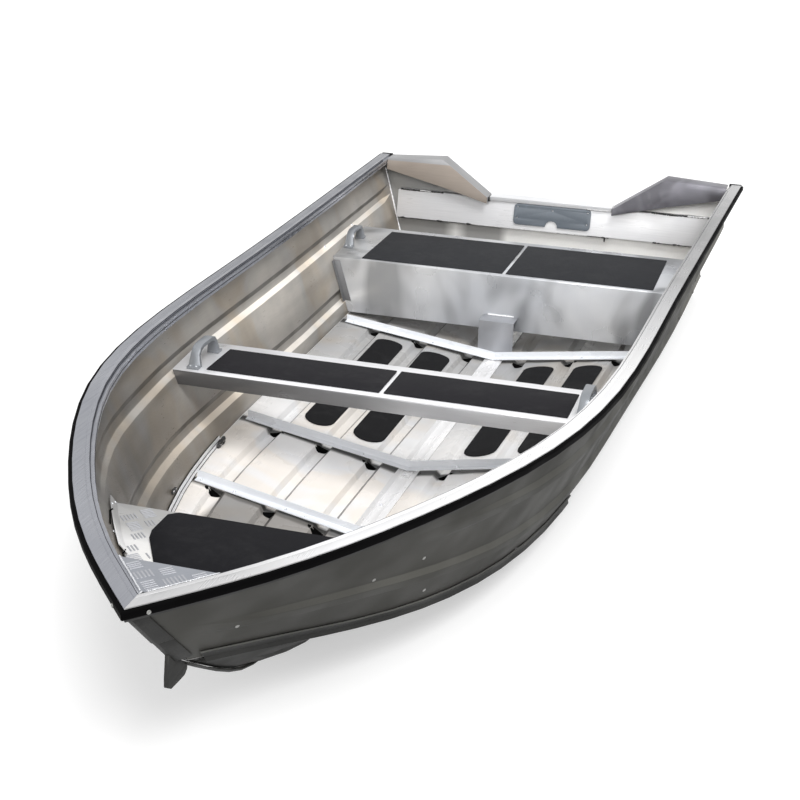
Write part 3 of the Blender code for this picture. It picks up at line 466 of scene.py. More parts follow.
# Light tone, dark tone, axis of the grain, roughness, grain, metallic, blotch, and the rest of brushed()
METALS = {
    "mill_stern": ((0.80, 0.805, 0.81), (0.54, 0.56, 0.60), "Z", 0.30, 0.25, 0.35, 0.6,
                   {"patches": (4.2, (1, 1, 0.5), 0.50)}),
    "mill_mid": ((0.97, 0.97, 0.98), (0.84, 0.84, 0.87), "Y", 0.32, 0.8, 0.4, 0.5, {"shades": (MID_FRONT,)}),
    "mill_across": ((0.96, 0.96, 0.97), (0.80, 0.81, 0.83), "Y", 0.34, 0.8, 0.4, 0.5, {}),
    "knee_starboard": ((0.36, 0.36, 0.365), (0.29, 0.29, 0.295), "Y", 0.42, 0.8, 0.4, 0.5,
                       {"outside": ("X", 1, KNEE_PAINT, [KNEE_FACE], [(-2.0, KNEE_TOP), (2.0, KNEE_TOP)])}),
    "knee_port": ((0.31, 0.30, 0.335), (0.20, 0.20, 0.225), "Y", 0.36, 0.8, 0.5, 0.5,
                  {"shades": (KNEE_SHADE,), "patches": (9, (1, 1, 1), 0.6)}),
    "mill_board": ((0.82, 0.815, 0.81), (0.75, 0.755, 0.78), "Y", 0.34, 1.4, 0.25, 0.4,
                   {"shades": (BOARD_RUN,)}),
    "mill_transom": ((1.0, 0.99, 0.95), (0.93, 0.92, 0.90), "Z", 0.34, 0.6, 0.15, 0.9,
                     {"shades": (TRANSOM_BANDS,)}),
    "mill_bow": ((0.97, 0.955, 0.91), (0.80, 0.80, 0.82), "Y", 0.30, 0.6, 0.5, 0.9, {"shades": (BOW_RUN,)}),
    "mill_hook": ((0.38, 0.40, 0.44), (0.28, 0.29, 0.32), "Y", 0.32, 0.6, 0.7, 0.9, {}),
    "mill_tab": ((0.48, 0.49, 0.51), (0.36, 0.37, 0.40), "Z", 0.34, 0.4, 0.5, 0.9, {}),
    # Painted shade: the stern panel's brackets are very dark to stand for the shadowed gap beside the panel
    "mill_bracket": ((0.20, 0.20, 0.205), (0.13, 0.13, 0.135), "Z", 0.40, 0.4, 0.3, 0.9, {}),
    "mill_frame": ((0.90, 0.92, 0.95), (0.80, 0.83, 0.88), "Y", 0.28, 0.8, 0.12, 0.5, {}),
    "mill_strip": ((1.0, 0.99, 0.98), (0.88, 0.88, 0.90), "X", 0.26, 0.8, 0.25, 0.5, {}),
    # Dark outer parts: a colour partly their own and partly painted shade, with painted highlights on faces
    # turned up and painted light along the boat
    "hull_dark": ((0.056, 0.056, 0.052), (0.040, 0.040, 0.038), "X", 0.58, 1.0, 0.0, 0.5,
                  {"shades": (DARK_TURN, OUTSIDE_RUN)}),
}
FINISHES = {
    "mill_stern": ("stern_thwart",),
    "mill_mid": ("mid_thwart",),
    "mill_across": ("transom_capping",),
    "knee_starboard": ("transom_knee_starboard",),
    "knee_port": ("transom_knee_port",),
    "mill_board": ("transom_board",),
    "mill_transom": ("transom_plate",),
    "mill_bow": ("bow_thwart",),
    "mill_hook": ("breasthook",),
    "mill_tab": ("keel_tab_bracket",),
    "mill_bracket": ("stern_panel_bracket_port", "stern_panel_bracket_starboard"),
    "mill_frame": ("frame_fore_port", "frame_fore_starboard", "frame_middle_port", "frame_middle_starboard",
                   "frame_aft_port", "frame_aft_starboard"),
    "mill_strip": ("keel_strip", "chine_joiner_port", "chine_joiner_starboard"),
    "hull_dark": ("keel_bar", "stem_head", "stem_foot", "bow_eye_plate", "chine_extrusion_port",
                  "chine_extrusion_starboard"),
}
# Radius of the softened edges
EDGE = 0.0006
EDGES = {"knee": 0.0012, "joiner": 0.0004, "frame": 0.0005}


def under_frames(stops):
    """A run along the boat with narrow dark dips of painted shadow where it passes under the frames."""
    run = list(stops)
    for at in FRAMES_AT:
        near = float(np.interp(at, [p[0] for p in stops], [p[1] for p in stops]))
        run += [(at - 0.010, near), (at - 0.004, 0.05), (at + 0.027, 0.05), (at + 0.033, near)]
    return sorted(run)


def top_run(name):
    """Height of a rail's upper edge along the boat."""
    points = [v.co for v in NODES[name].data.vertices]
    run = []
    for x in np.linspace(-1.66, 2.0, 16):
        high = max(v.z for v in sorted(points, key=lambda v: abs(v.x - x))[:40])
        run.append((float(x), high))
    return run


def set_shine(material, level):
    material.node_tree.nodes["Principled BSDF"].inputs["Specular IOR Level"].default_value = level


def finish_hull():
    """Side and bottom sheets: mill metal inside; outside a dark colour, partly their own and partly painted
    shade.
    """
    run = ("Object", "X", under_frames(SOLE_STOPS))
    for word, side in SIDES:
        wall = brushed("side_sheet_" + word, (1.0, 0.935, 0.845), (0.70, 0.675, 0.64), "X", 0.34, 0.8, 0.30,
                       1.0, outside=("Y", side, SIDE_OUTER_TONE_AND_SHADE, [OUTSIDE_RUN, OUTSIDE_TURN], None),
                       shades=(UPTURN, WALL_RUN), patches=(2.6, (0.30, 1, 2.2), 0.72), warm=0.8)
        set_shine(wall, 0.25)
        dress("hull_side_" + word, wall)
        refine("hull_side_" + word, 24, 0.004, 2, 12)
        # The flanks of the grooves that are turned to starboard lie in shade
        flanks = ("Normal", "Y", [(-1.0, 0.22), (-0.22 - 0.22 * (side + 1), 0.32),
                                  (-0.03 - 0.16 * (side + 1), 1.0), (1.0, 1.0)])
        ahead = ("Object", "X", SOLE_AHEAD, ("Object", "Y", side * 0.365, side * 0.345))
        sole = brushed("bottom_sheet_" + word, (1.0, 0.98, 0.96), (0.95, 0.96, 0.985), "X", 0.28, 0.5, 0.08,
                       0.8, outside=("Z", -1, BOTTOM_OUTER_TONE_AND_SHADE, [], None), shades=(run, ahead, flanks), warm=0.55)
        set_shine(sole, 0.12)
        dress("bottom_" + word, sole)
        refine("bottom_" + word, 24, 0.003, 2, 12)


def finish_rails():
    """Gunwales: bright to port and grey to starboard, as they catch the light."""
    port = brushed("rail_port", (1.0, 0.995, 0.99), (0.90, 0.90, 0.92), "X", 0.26, 0.8, 0.35,
                   outside=("Y", 1, RAIL_OUTER_TONE_AND_SHADE, [], top_run("gunwale_port")), shades=(PORT_RUN,))
    starboard = brushed("rail_starboard", (0.39, 0.40, 0.435), (0.31, 0.32, 0.355), "X", 0.28, 2.2, 0.8,
                        outside=("Y", -1, RAIL_OUTER_TONE_AND_SHADE, [], top_run("gunwale_starboard")),
                        shades=(STARBOARD_TURN, STARBOARD_RUN))
    for name, material in (("gunwale_port", port), ("gunwale_starboard", starboard)):
        dress(name, material)
        refine(name, 30, EDGE, 2, 40)


def finish_plates():
    """Thwarts, frames, transom, brackets, keel and stem."""
    for metal, names in FINISHES.items():
        *tones, more = METALS[metal]
        material = brushed(metal, *tones, **more)
        if metal == "hull_dark":
            set_shine(material, 0.25)
        for name in names:
            edge = [size for word, size in EDGES.items() if word in name] or [EDGE]
            dress(name, material)
            refine(name, 30, edge[0], 2, 40)


def finish_soft():
    """Fenders, caps, mats, motor pads and the cast handles."""
    fender = rubber("fender_rubber", (0.0016, 0.0015, 0.0017), 0.62, 0.15, 0.02)
    cap = rubber("cap_rubber", (0.010, 0.010, 0.011), 0.45, 0.1)
    stern_mat = matting("stern_matting", (0.025, 0.026, 0.029), "Y")
    mid_mat = matting("mid_matting", (0.014, 0.0135, 0.016), "Y")
    bow_mat = matting("bow_matting", (0.007, 0.007, 0.009), "Y")
    sole_mat = matting("sole_matting", (0.006, 0.006, 0.007), "X")
    pad = cast("pad_skin", (0.125, 0.146, 0.17), 0.0, 0.42)
    handle = cast("handle_skin", (0.27, 0.285, 0.305), 0.45, 0.36)
    rows = [("bow_mat", bow_mat, 30, EDGE), ("transom_pad", pad, 35, 0.0008), ("outer_motor_pad", pad, 35, 0.0),
            ("drain_bung", cap, 40, 0.0)]
    for word, _ in SIDES:
        rows += [("fender_" + word, fender, 40, 0.0), ("gunwale_end_cap_" + word, cap, 40, 0.0),
                 ("mid_thwart_mat_" + word, mid_mat, 30, EDGE),
                 ("stern_thwart_mat_" + word, stern_mat, 30, EDGE),
                 ("mid_handle_" + word, handle, 40, 0.0), ("stern_handle_" + word, handle, 40, 0.0),
                 ("floor_mat_inner_" + word, sole_mat, 30, 0.0),
                 ("floor_mat_outer_" + word, sole_mat, 30, 0.0)]
    for name, material, angle, edge in rows:
        dress(name, material)
        refine(name, angle, edge, 2, 40)


# ---- small pieces made here


def packed_tree():
    """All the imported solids, for dropping small pieces on them."""
    points = []
    faces = []
    for name in sorted(NODES):
        thing = NODES[name]
        start = len(points)
        points += [v.co.copy() for v in thing.data.vertices]
        faces += [[start + i for i in p.vertices] for p in thing.data.polygons]
    return BVHTree.FromPolygons(points, faces)


SOLIDS = packed_tree()


def drop(point, direction):
    """Where a ray first meets the boat, with the face's normal turned towards the start."""
    direction = Vector(direction).normalized()
    place, normal, _, _ = SOLIDS.ray_cast(Vector(point), direction)
    if place is None:
        raise RuntimeError("nothing lies below %s" % (point,))
    if normal.dot(direction) > 0:
        normal = -normal
    return place, normal


def piece(name, work, material, smooth=True):
    mesh = bpy.data.meshes.new(name)
    work.to_mesh(mesh)
    work.free()
    for face in mesh.polygons:
        face.use_smooth = smooth
    thing = bpy.data.objects.new(name, mesh)
    thing.data.materials.append(material)
    SCENE.collection.objects.link(thing)
    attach(thing, "root")
    return thing


def ring_faces(work, low, high):
    count = len(low)
    for i in range(count):
        k = (i + 1) % count
        work.faces.new((low[i], low[k], high[k], high[i]))


def skin(work, rings):
    """Closed surface over a row of rings."""
    for low, high in zip(rings, rings[1:]):
        ring_faces(work, low, high)
    work.faces.new(rings[-1])
    work.faces.new(rings[0][::-1])


def axes_of(normal):
    normal = Vector(normal).normalized()
    across = normal.orthogonal().normalized()
    return normal, across, normal.cross(across)


def ring_round(work, spot, across, up, radius, count=8):
    """Points round a spot."""
    ring = []
    for i in range(count):
        turn = 2 * math.pi * i / count
        away = across * math.cos(turn) + up * math.sin(turn)
        ring.append(work.verts.new(spot + away * radius))
    return ring


def add_rivet(work, place, normal, radius, socket=False):
    """Domed head, or a flat one with a recess, sunk a little into the sheet."""
    normal, across, along = axes_of(normal)
    height = radius * 0.45
    if socket:
        steps = [(1.0, 0.0), (1.0, 0.6), (0.86, 1.0), (0.45, 1.0), (0.38, 0.35), (0.05, 0.3)]
    else:
        steps = [(1.0, 0.0), (0.98, 0.3), (0.80, 0.72), (0.48, 0.95), (0.10, 1.0)]
    skin(work, [ring_round(work, place + normal * (height * rise - SUNK), across, along, radius * share, 14)
                for share, rise in steps])


def bead(work, path, radius=0.0035, pitch=0.0042, wobble=0.25):
    """Weld bead: overlapping ripples along a path of points."""
    path = [Vector(p) for p in path]
    lengths = [0.0]
    for a, b in zip(path, path[1:]):
        lengths.append(lengths[-1] + (b - a).length)
    total = lengths[-1]
    count = max(int(total / pitch) * 3, 6)
    rings = []
    for i in range(count + 1):
        d = total * i / count
        k = min(max(int(np.searchsorted(lengths, d)) - 1, 0), len(path) - 2)
        t = (d - lengths[k]) / max(lengths[k + 1] - lengths[k], 1e-9)
        spot = path[k].lerp(path[k + 1], t)
        _, across, up = axes_of(path[k + 1] - path[k])
        ripple = 0.86 + 0.20 * math.sin(math.pi * (i % 3) / 3)
        size = radius * (ripple + wobble * 0.25 * random.uniform(-1, 1))
        if i in (0, count):
            size *= 0.35
        shift = (across * random.uniform(-1, 1) + up * random.uniform(-1, 1)) * radius * wobble * 0.25
        rings.append(ring_round(work, spot + shift, across, up, size))
    skin(work, rings)


def seam(work, x, z, low, high, steps, radius, pitch, wobble, jitter=0.0):
    """Bead straight across the boat, from one Y to another, at one X and one height."""
    path = []
    for k in range(steps + 1):
        lift = random.uniform(-jitter, jitter) if jitter else 0.0
        path.append((x, low + (high - low) * k / steps, z + lift))
    bead(work, path, radius, pitch, wobble)


def thread(work, path, radius):
    """Thin round line with a ring at each point of the path."""
    rings = []
    for i, spot in enumerate(path):
        _, across, up = axes_of(path[min(i + 1, len(path) - 1)] - path[max(i - 1, 0)])
        rings.append(ring_round(work, spot, across, up, radius))
    skin(work, rings)


def lump(work, centre, radius, flat=(1, 1, 1)):
    """A rough drop of weld metal or soot."""
    made = bmesh.ops.create_icosphere(work, subdivisions=2, radius=radius)
    for v in made["verts"]:
        v.co = Vector([c * f for c, f in zip(v.co * random.uniform(0.84, 1.12), flat)]) + Vector(centre)


WELD = weld_metal("weld_bright", (0.95, 0.95, 0.96), (0.55, 0.55, 0.55), 0.35)
RAIL_WELD = weld_metal("weld_rail", (0.74, 0.75, 0.78), (0.40, 0.40, 0.42), 0.5)
# Near-black weld metal: real soot at the chine tacks, and painted shadow in the transom's gaps
SOOT_AND_SHADOW = weld_metal("weld_soot_and_shadow", (0.030, 0.030, 0.030), (0.008, 0.008, 0.008), 0.2)
GREY_WELD = weld_metal("weld_grey", (0.50, 0.50, 0.50), (0.20, 0.20, 0.20), 0.4)
TREAD = brushed("tread_bars", (0.50, 0.505, 0.53), (0.38, 0.39, 0.42), "Y", 0.34, 0.6, 0.6)
SCREWS = brushed("screw_heads", (0.97, 0.98, 1.0), (0.72, 0.75, 0.80), "X", 0.22, 0.5, 0.6)
OUTER_RIVETS = brushed("outer_rivets", (0.30, 0.30, 0.29), (0.22, 0.22, 0.21), "X", 0.4, 0.5, 0.3)
DARK_RIVETS = brushed("dark_rivets", (0.012, 0.012, 0.012), (0.008, 0.008, 0.008), "X", 0.5, 0.5, 0.0)
# Painted shade: near-black rubber for the shade in gaps, slits and creases
GAP_SHADE = rubber("painted_gap_shade", (0.004, 0.004, 0.004), 0.8, 0.3, 0.0)
# Painted shade in the rails' grooves
GROOVE_SHADE = rubber("rail_groove", (0.050, 0.052, 0.060), 0.7, 0.2, 0.1)


def add_bar(work, centre, along, across):
    """A raised bar with sloping flanks and ends, sunk a little into the plate."""
    rows = []
    for share, rise in ((1.0, -0.0003), (0.90, 0.5 * BAR_HEIGHT), (0.62, BAR_HEIGHT)):
        up = Vector((0, 0, rise))
        a = along * (BAR_LENGTH / 2 - BAR_WIDTH / 2 * (1 - share))
        b = across * BAR_WIDTH / 2 * share
        rows.append([work.verts.new(centre + up + p) for p in (-a - b, a - b, a + b, -a + b)])
    skin(work, rows)


def lies_on(spot, top):
    """Whether the boat's surface under a spot is at one height."""
    hit, _, _, _ = SOLIDS.ray_cast(spot + Vector((0, 0, 0.02)), Vector((0, 0, -1)))
    return hit is not None and abs(hit.z - top) < 0.0006


def tread(name, top, span, reach):
    """Groups of short bars where a plate is bare, each group turned across its neighbours."""
    work = bmesh.new()
    turn = math.sqrt(0.5)
    one = Vector((turn, turn, 0))
    two = Vector((turn, -turn, 0))
    start = Vector((*TREAD_START, top))
    for i in range(-TREAD_GROUPS, TREAD_GROUPS + 1):
        for k in range(-TREAD_GROUPS, TREAD_GROUPS + 1):
            middle = start + one * TREAD_PITCH * i + two * TREAD_PITCH * k
            if not (span[0] < middle.x < span[1] and abs(middle.y) < reach):
                continue
            along, across = (one, two) if (i + k) % 2 == 0 else (two, one)
            for row in range(BARS):
                centre = middle + across * BAR_STEP * (row - (BARS - 1) / 2)
                corners = [centre + along * BAR_LENGTH * t + across * BAR_WIDTH * w
                           for t in (-0.5, 0, 0.5) for w in (-0.6, 0.6)]
                if all(lies_on(spot, top) for spot in corners):
                    add_bar(work, centre, along, across)
    piece(name, work, TREAD, smooth=False)


def screws(name, spots, direction, material, radius=SCREW, socket=True, reach=0.03):
    """Heads where rays that start a little before each spot meet the boat."""
    work = bmesh.new()
    toward = Vector(direction).normalized()
    for spot in spots:
        place, normal = drop(Vector(spot) - toward * reach, toward)
        add_rivet(work, place, normal, radius, socket)
    piece(name, work, material)


def mirrored(spots, side):
    return [(x, side * y, z) for x, y, z in spots]


def add_screws():
    """Screws of the frames, keel strip, fenders and handles, and the rivets of the thwarts and sides."""
    for name, x, ys in FRAME_SCREWS:
        screws("screws_frame_" + name, [(x, y, LOOK_FROM) for y in ys], DOWN, SCREWS, reach=0.0)
    screws("screws_keel_strip", [(x, -0.002, 0.0) for x in KEEL_SCREWS], DOWN, SCREWS)
    for word, side in SIDES:
        inward = (-0.35, -side * 0.93, 0)
        screws("rivets_bow_thwart_" + word, mirrored(BOW_THWART_RIVETS, side), DOWN, SCREWS, 0.0038, False)
        screws("screw_fender_" + word, mirrored(FENDER_SCREW, side), inward, OUTER_RIVETS, SCREW)
        for place, middle, inset, top in HANDLES:
            spots = [(middle + end * FOOT_AT, inset * side + row, top)
                     for end in (-1, 1) for row in (-FOOT_SCREWS, FOOT_SCREWS)]
            screws("screws_%s_handle_%s" % (place, word), spots, DOWN, SCREWS, 0.0030)
        screws("rivets_side_" + word, mirrored(SIDE_RIVETS, side), inward, OUTER_RIVETS, 0.0045, False, 0.06)
        screws("rivets_stern_end_" + word, mirrored(STERN_END_RIVETS, side), (0, side, 0), SCREWS, 0.0050,
               False)


def joiner_lines(name):
    """Upper edge, fold and lower edge of an inner joiner, found from its own corners."""
    points = sorted({tuple(round(c, 5) for c in v.co) for v in NODES[name].data.vertices})
    groups = [[points[0]]]
    for p in points[1:]:
        if p[0] - groups[-1][-1][0] > 0.012:
            groups.append([])
        groups[-1].append(p)
    upper = [Vector(max(g, key=lambda p: abs(p[1]))) for g in groups]
    fold = [Vector(sorted(g, key=lambda p: p[2] - abs(p[1]))[1]) for g in groups]
    lower = [Vector(min(g, key=lambda p: p[2])) for g in groups]
    return upper, fold, lower


def add_joiner_details():
    """Painted shade as dark lines along the chine joiners' edges and fold, and the two sooty tacks at each."""
    for word, side in SIDES:
        work = bmesh.new()
        for path, rise in zip(joiner_lines("chine_joiner_" + word), (0.0006, 0.0, 0.0008)):
            bead(work, [p + Vector((0, 0, rise)) for p in path], 0.0012, 0.02, 0.1)
        piece("joiner_shade_lines_" + word, work, GAP_SHADE)
        dark = bmesh.new()
        bright = bmesh.new()
        for x, y, z, size in TACKS:
            middle = Vector((x, side * (y - 0.002), z + 0.005))
            for turn in range(9):
                away = Vector((math.cos(turn), -side * 0.3 * math.sin(turn), 0.8 * math.sin(turn)))
                way = away * 0.010 * size
                lump(dark, middle + way * random.uniform(0.7, 1.3), 0.0066 * size, (1.3, 0.7, 0.8))
                if turn % 3 == 0:
                    spot = middle + way * 0.7 + Vector((0.004, -side * 0.004, 0.006))
                    lump(bright, spot, 0.0034 * size, (1.3, 0.8, 0.8))
        piece("tack_soot_" + word, dark, SOOT_AND_SHADOW)
        piece("tack_beads_" + word, bright, WELD)


def add_transom_details():
    """Corner welds, painted shadow as dark beads and lumps in the gaps above and below the board and at the
    knees, and the board's own welds.
    """
    for word, side in SIDES:
        work = bmesh.new()
        path = []
        for z in np.linspace(0.02, 0.385, 18):
            x = TRANSOM_X + (z - TRANSOM_Z) * TRANSOM_TILT
            place, _ = drop((x, side * 0.95, z), (0, -side, 0))
            path.append((x, place.y - side * 0.0048, z))
        bead(work, path, 0.0034)
        piece("corner_weld_" + word, work, WELD)

    work = bmesh.new()
    for low, high in ((-0.600, -0.310), (0.410, 0.602), (0.150, 0.235)):
        seam(work, BOARD_FOOT_X, 0.1862, low, high, 9, 0.0016, 0.006, 0.8, 0.0006)
    for y, size in BOARD_FOOT_SHADOW:
        lump(work, (BOARD_FOOT_X, y, 0.1868), 0.0042 * size, (0.6, 1.9, 0.75))
    lump(work, (-1.5725, 0.218, 0.178), 0.0035, (0.7, 1.0, 3.0))
    for low, high in ((-0.600, -0.425), (0.385, 0.600)):
        seam(work, -1.5893, 0.2945, low, high, 7, 0.0030, 0.008, 0.9, 0.001)
    for side in (-1, 1):
        bead(work, [(-1.5772, side * 0.2395, z) for z in (0.281, 0.290, 0.299)], 0.0034, 0.004, 0.4)
    piece("transom_gap_shadows", work, SOOT_AND_SHADOW)

    work = bmesh.new()
    seam(work, BOARD_FOOT_X, 0.1865, -0.300, 0.150, 12, 0.0018, 0.004, 0.8)
    seam(work, -1.5785, 0.2868, 0.140, 0.235, 6, 0.0022, 0.004, 0.8)
    piece("board_weld_grey", work, GREY_WELD)
    work = bmesh.new()
    seam(work, BOARD_HEAD_X, 0.2962, 0.520, 0.595, 5, 0.0022, 0.006, 1.0)
    seam(work, BOARD_HEAD_X, 0.2962, -0.520, -0.475, 4, 0.0018, 0.006, 0.6)
    piece("board_weld_bright", work, WELD)


def rail_sections(name):
    """Per section of a rail: its inner lip's upper corner, its crown's inner edge and its crown's groove."""
    points = sorted((v.co for v in NODES[name].data.vertices), key=lambda v: v.x)
    groups = [[points[0]]]
    for point in points[1:]:
        if point.x - groups[-1][-1].x > 0.02:
            groups.append([])
        groups[-1].append(point)
    sections = []
    for group in groups:
        high = max(v.z for v in group)
        crown = [v for v in group if v.z > high - 0.0001]
        lip = [v for v in group if high - 0.0065 < v.z < high - 0.0055]
        if not lip or len(crown) < 3:
            continue
        inner = min(lip, key=lambda v: abs(v.y))
        crown.sort(key=lambda v: (v - inner).length)
        sections.append((inner, crown[0], crown[1].lerp(crown[2], 0.5)))
    return sections


def add_bow_welds():
    """Beads between the breasthook and the rails, and along the mitre, kept below the rails' top."""
    work = bmesh.new()
    height, tip = max((v.co.z, v.co.x) for v in NODES["gunwale_port"].data.vertices)
    most = height - 0.0024
    crest = [v.co for v in NODES["breasthook"].data.vertices if v.co.z > BREASTHOOK_TOP - 0.0005]
    for side in (-1, 1):
        ends = sorted([v for v in crest if v.y * side > 0.004], key=lambda v: v.x)
        first = max(ends[:4], key=lambda v: abs(v.y))
        last = max(ends[-3:], key=lambda v: v.x)
        path = [first.lerp(last, k / 8) for k in range(9)]
        bead(work, [(v.x, v.y, min(v.z + 0.0010, most)) for v in path], 0.0020, 0.004, 0.9)
    crown = [(edge.x, edge.z) for _, edge, _ in rail_sections("gunwale_port")] + [(tip, height)]
    along, heights = zip(*crown)
    mitre = [(x, np.interp(x, along, heights)) for x in np.linspace(1.934, 1.996, 6)]
    bead(work, [(x, 0.0, min(z, most)) for x, z in mitre], 0.0018, 0.004, 0.6)
    piece("bow_welds", work, RAIL_WELD)


def add_frame_welds():
    """A bead over each frame's joint at the keel."""
    work = bmesh.new()
    for at in FRAMES_AT:
        path = []
        for k in range(7):
            place, _ = drop((at + 0.001 + 0.020 * k / 6, 0.0, LOOK_FROM), DOWN)
            path.append(place + Vector((0, 0, 0.0006)))
        bead(work, path, 0.0024, 0.004, 0.6)
    piece("frame_joint_welds", work, WELD)


def add_aft_rivets():
    """Dark rivets low on the sides, under the stern thwart and behind it."""
    for word, side in SIDES:
        screws("rivets_aft_" + word, [(x, side * 0.60, z) for x, z in AFT_RIVETS], (0, -side, 0), DARK_RIVETS,
               0.0050, False, 0.15)


def add_rail_grooves():
    """Painted shade as dark lines of the extrusion: along the lip, under the crown's inner edge and in the
    crown's groove.
    """
    for word, _ in SIDES:
        work = bmesh.new()
        sections = rail_sections("gunwale_" + word)[1:]
        thread(work, [inner - Vector((0, 0, 0.0085)) for inner, _, _ in sections], 0.0012)
        thread(work, [Vector((edge.x, edge.y, inner.z)) for inner, edge, _ in sections], 0.0014)
        thread(work, [groove - Vector((0, 0, 0.0011)) for _, _, groove in sections], 0.0013)
        piece("rail_grooves_" + word, work, GROOVE_SHADE)


def add_bow_thwart_slit_shade():
    """Painted shade as dark lines in the slits beside the bow thwart's turned-up ends."""
    for word, side in SIDES:
        work = bmesh.new()
        for ends in BOW_SLITS:
            first, last = [Vector((x, side * y, z)) for x, y, z in ends]
            path = []
            for k in range(7):
                spot = first.lerp(last, k / 6)
                place, _ = drop((spot.x - 0.03, side * 0.05, spot.z), (0.03, side * (abs(spot.y) - 0.05), 0))
                path.append(place - Vector((0, side * 0.0012, 0)))
            bead(work, path, 0.0018, 0.006, 0.3)
        piece("bow_thwart_slit_shade_" + word, work, GAP_SHADE)


def add_bracket_welds():
    """Beads at the head and the foot of the tab bracket."""
    work = bmesh.new()
    for x, z in ((-0.7885, 0.0952), (-0.7215, -0.0200)):
        seam(work, x, z, -0.046, 0.046, 8, 0.0026, 0.004, 0.7)
    piece("bracket_welds", work, WELD)


def groove_middles(at):
    """Y of the grooves at one place along the boat, where the sole lies lowest below its own flats."""
    rows = []
    heights = []
    for y in np.linspace(0.05, 0.44, 131):
        place, _ = drop((at, -y, LOOK_FROM), DOWN)
        rows.append(float(y))
        heights.append(place.z)
    smooth = np.poly1d(np.polyfit(rows, heights, 3))
    depth = np.array(heights) - smooth(rows)
    found = []
    for k in range(4, len(rows) - 4):
        lowest = depth[k] == min(depth[k - 4:k + 5]) and depth[k] < -0.0025
        if lowest and (not found or rows[k] - found[-1] > 0.05):
            found.append(rows[k])
    return found


def add_frame_gap_shadows():
    """Painted shadow: dark half-round patches on the sole, where its grooves come out from under the frames."""
    work = bmesh.new()
    for at in FRAMES_AT:
        front = at + FRAME_WIDTH
        for y in groove_middles(front + 0.012):
            for side in (-1, 1):
                rings = []
                for share in (1.0, 0.6, 0.2):
                    ring = []
                    for k in range(12):
                        turn = math.pi * k / 11
                        x = front + GAP_SHADOW_LENGTH * share * math.sin(turn)
                        across = side * y + GAP_SHADOW_WIDTH * share * math.cos(turn)
                        place, _ = drop((x, across, LOOK_FROM), DOWN)
                        ring.append(work.verts.new(place + Vector((0, 0, 0.0009 if share < 1 else 0.0002))))
                    rings.append(ring)
                for low, high in zip(rings, rings[1:]):
                    ring_faces(work, low, high)
                work.faces.new(rings[-1])
    piece("frame_gap_shadows", work, GAP_SHADE)


# ---- stage, light and camera


def waterline():
    """Outline of the hull where it goes through the floor."""
    half = []
    for x in np.linspace(-1.56, 0.86, 61):
        place, _, _, _ = SOLIDS.ray_cast(Vector((x, 1.2, 0.0)), Vector((0, -1, 0)))
        if place is not None and place.y > 0.012:
            half.append((float(x), place.y - 0.0012))
    return half + [(half[-1][0] + 0.01, 0.0)] + [(x, -y) for x, y in half[::-1]]


def make_floor():
    curve = bpy.data.curves.new("floor", "CURVE")
    curve.dimensions = "2D"
    curve.fill_mode = "BOTH"
    far = FLOOR_REACH
    for loop in ([(-far, -far), (far, -far), (far, far), (-far, far)], waterline()):
        line = curve.splines.new("POLY")
        line.points.add(len(loop) - 1)
        for slot, p in zip(line.points, loop):
            slot.co = (p[0], p[1], 0.0, 1.0)
        line.use_cyclic_u = True
    floor = bpy.data.objects.new("floor", curve)
    SCENE.collection.objects.link(floor)
    shader = Shader("floor_white")
    shader.main.inputs["Base Color"].default_value = FLOOR_SHADE
    shader.main.inputs["Roughness"].default_value = 0.9
    shader.main.inputs["Specular IOR Level"].default_value = 0.0
    lift = shader.add("ShaderNodeEmission")
    lift.inputs["Color"].default_value = (1, 1, 1, 1)
    path = shader.add("ShaderNodeLightPath")
    seen = shader.sum(path.outputs["Is Camera Ray"], path.outputs["Is Glossy Ray"], "MAXIMUM")
    seen = shader.sum(seen, path.outputs["Is Transmission Ray"], "MAXIMUM")
    shader.link(shader.spread(seen, 0, 1, 0, FLOOR_GLOW), lift.inputs["Strength"])
    both = shader.add("ShaderNodeAddShader")
    out = shader.tree.nodes["Material Output"]
    shader.link(shader.main.outputs["BSDF"], both.inputs[0])
    shader.link(lift.outputs["Emission"], both.inputs[1])
    shader.link(both.outputs["Shader"], out.inputs["Surface"])
    curve.materials.append(shader.material)


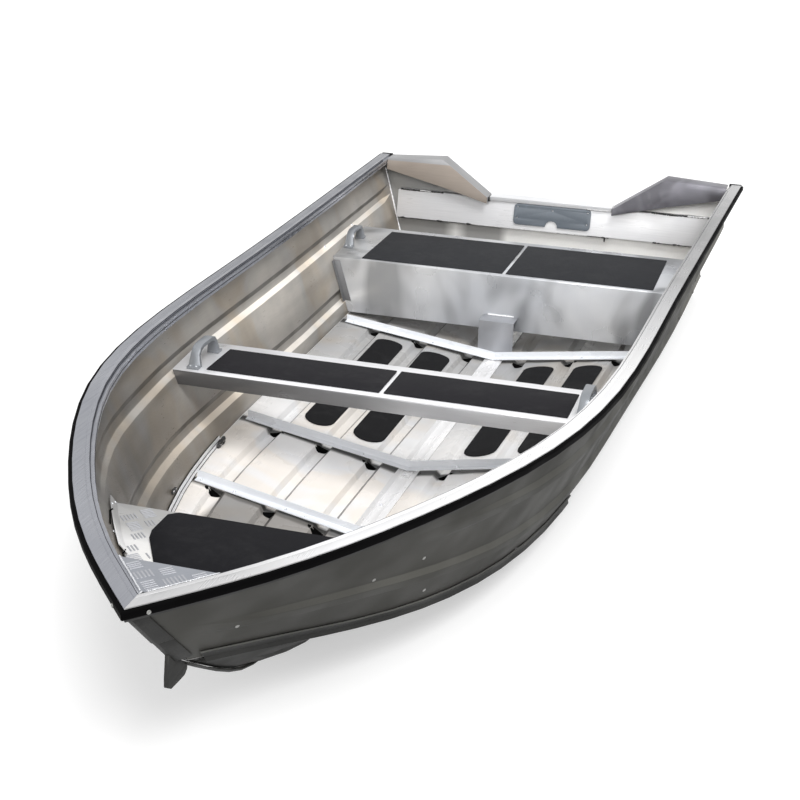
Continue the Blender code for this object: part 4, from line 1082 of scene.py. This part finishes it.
def make_light():
    world = bpy.data.worlds.new("studio")
    world.use_nodes = True
    SCENE.world = world
    tree = world.node_tree
    background = tree.nodes["Background"]
    background.inputs["Color"].default_value = (1, 1, 1, 1)
    path = tree.nodes.new("ShaderNodeLightPath")
    best = None
    for word in ("Is Camera Ray", "Is Glossy Ray", "Is Transmission Ray"):
        if best is None:
            best = path.outputs[word]
            continue
        both = tree.nodes.new("ShaderNodeMath")
        both.operation = "MAXIMUM"
        tree.links.new(best, both.inputs[0])
        tree.links.new(path.outputs[word], both.inputs[1])
        best = both.outputs["Value"]
    level = tree.nodes.new("ShaderNodeMapRange")
    level.inputs["To Min"].default_value = SKY
    level.inputs["To Max"].default_value = 1.0
    tree.links.new(best, level.inputs["Value"])
    tree.links.new(level.outputs["Result"], background.inputs["Strength"])
    for name, energy, angle, source in LAMPS:
        sun = bpy.data.lights.new(name, "SUN")
        sun.energy = energy
        sun.angle = math.radians(angle)
        lamp = bpy.data.objects.new(name, sun)
        lamp.rotation_euler = Vector(source).to_track_quat("Z", "Y").to_euler()
        SCENE.collection.objects.link(lamp)


def make_camera():
    data = bpy.data.cameras.new("camera")
    data.lens = CAMERA_LENS
    data.sensor_width = 36.0
    data.clip_end = 200
    camera = bpy.data.objects.new("camera", data)
    back = Vector(CAMERA_BACK).normalized()
    up = (Vector(CAMERA_UP) - back * back.dot(Vector(CAMERA_UP))).normalized()
    right = up.cross(back)
    turn = Matrix((right, up, back)).transposed()
    camera.matrix_world = Matrix.Translation(CAMERA_AT) @ turn.to_4x4()
    SCENE.collection.objects.link(camera)
    SCENE.camera = camera


finish_hull()
finish_rails()
finish_plates()
finish_soft()

tread("tread_bow_thwart", BOW_THWART_TOP, (1.38, 1.84), 0.36)
tread("tread_breasthook", BREASTHOOK_TOP, (1.82, 1.94), 0.10)
add_screws()
add_joiner_details()
add_transom_details()
add_bow_welds()
add_frame_welds()
add_aft_rivets()
add_rail_grooves()
add_bow_thwart_slit_shade()
add_bracket_welds()
add_frame_gap_shadows()

make_floor()
make_light()
make_camera()
SCENE.view_settings.view_transform = "Standard"
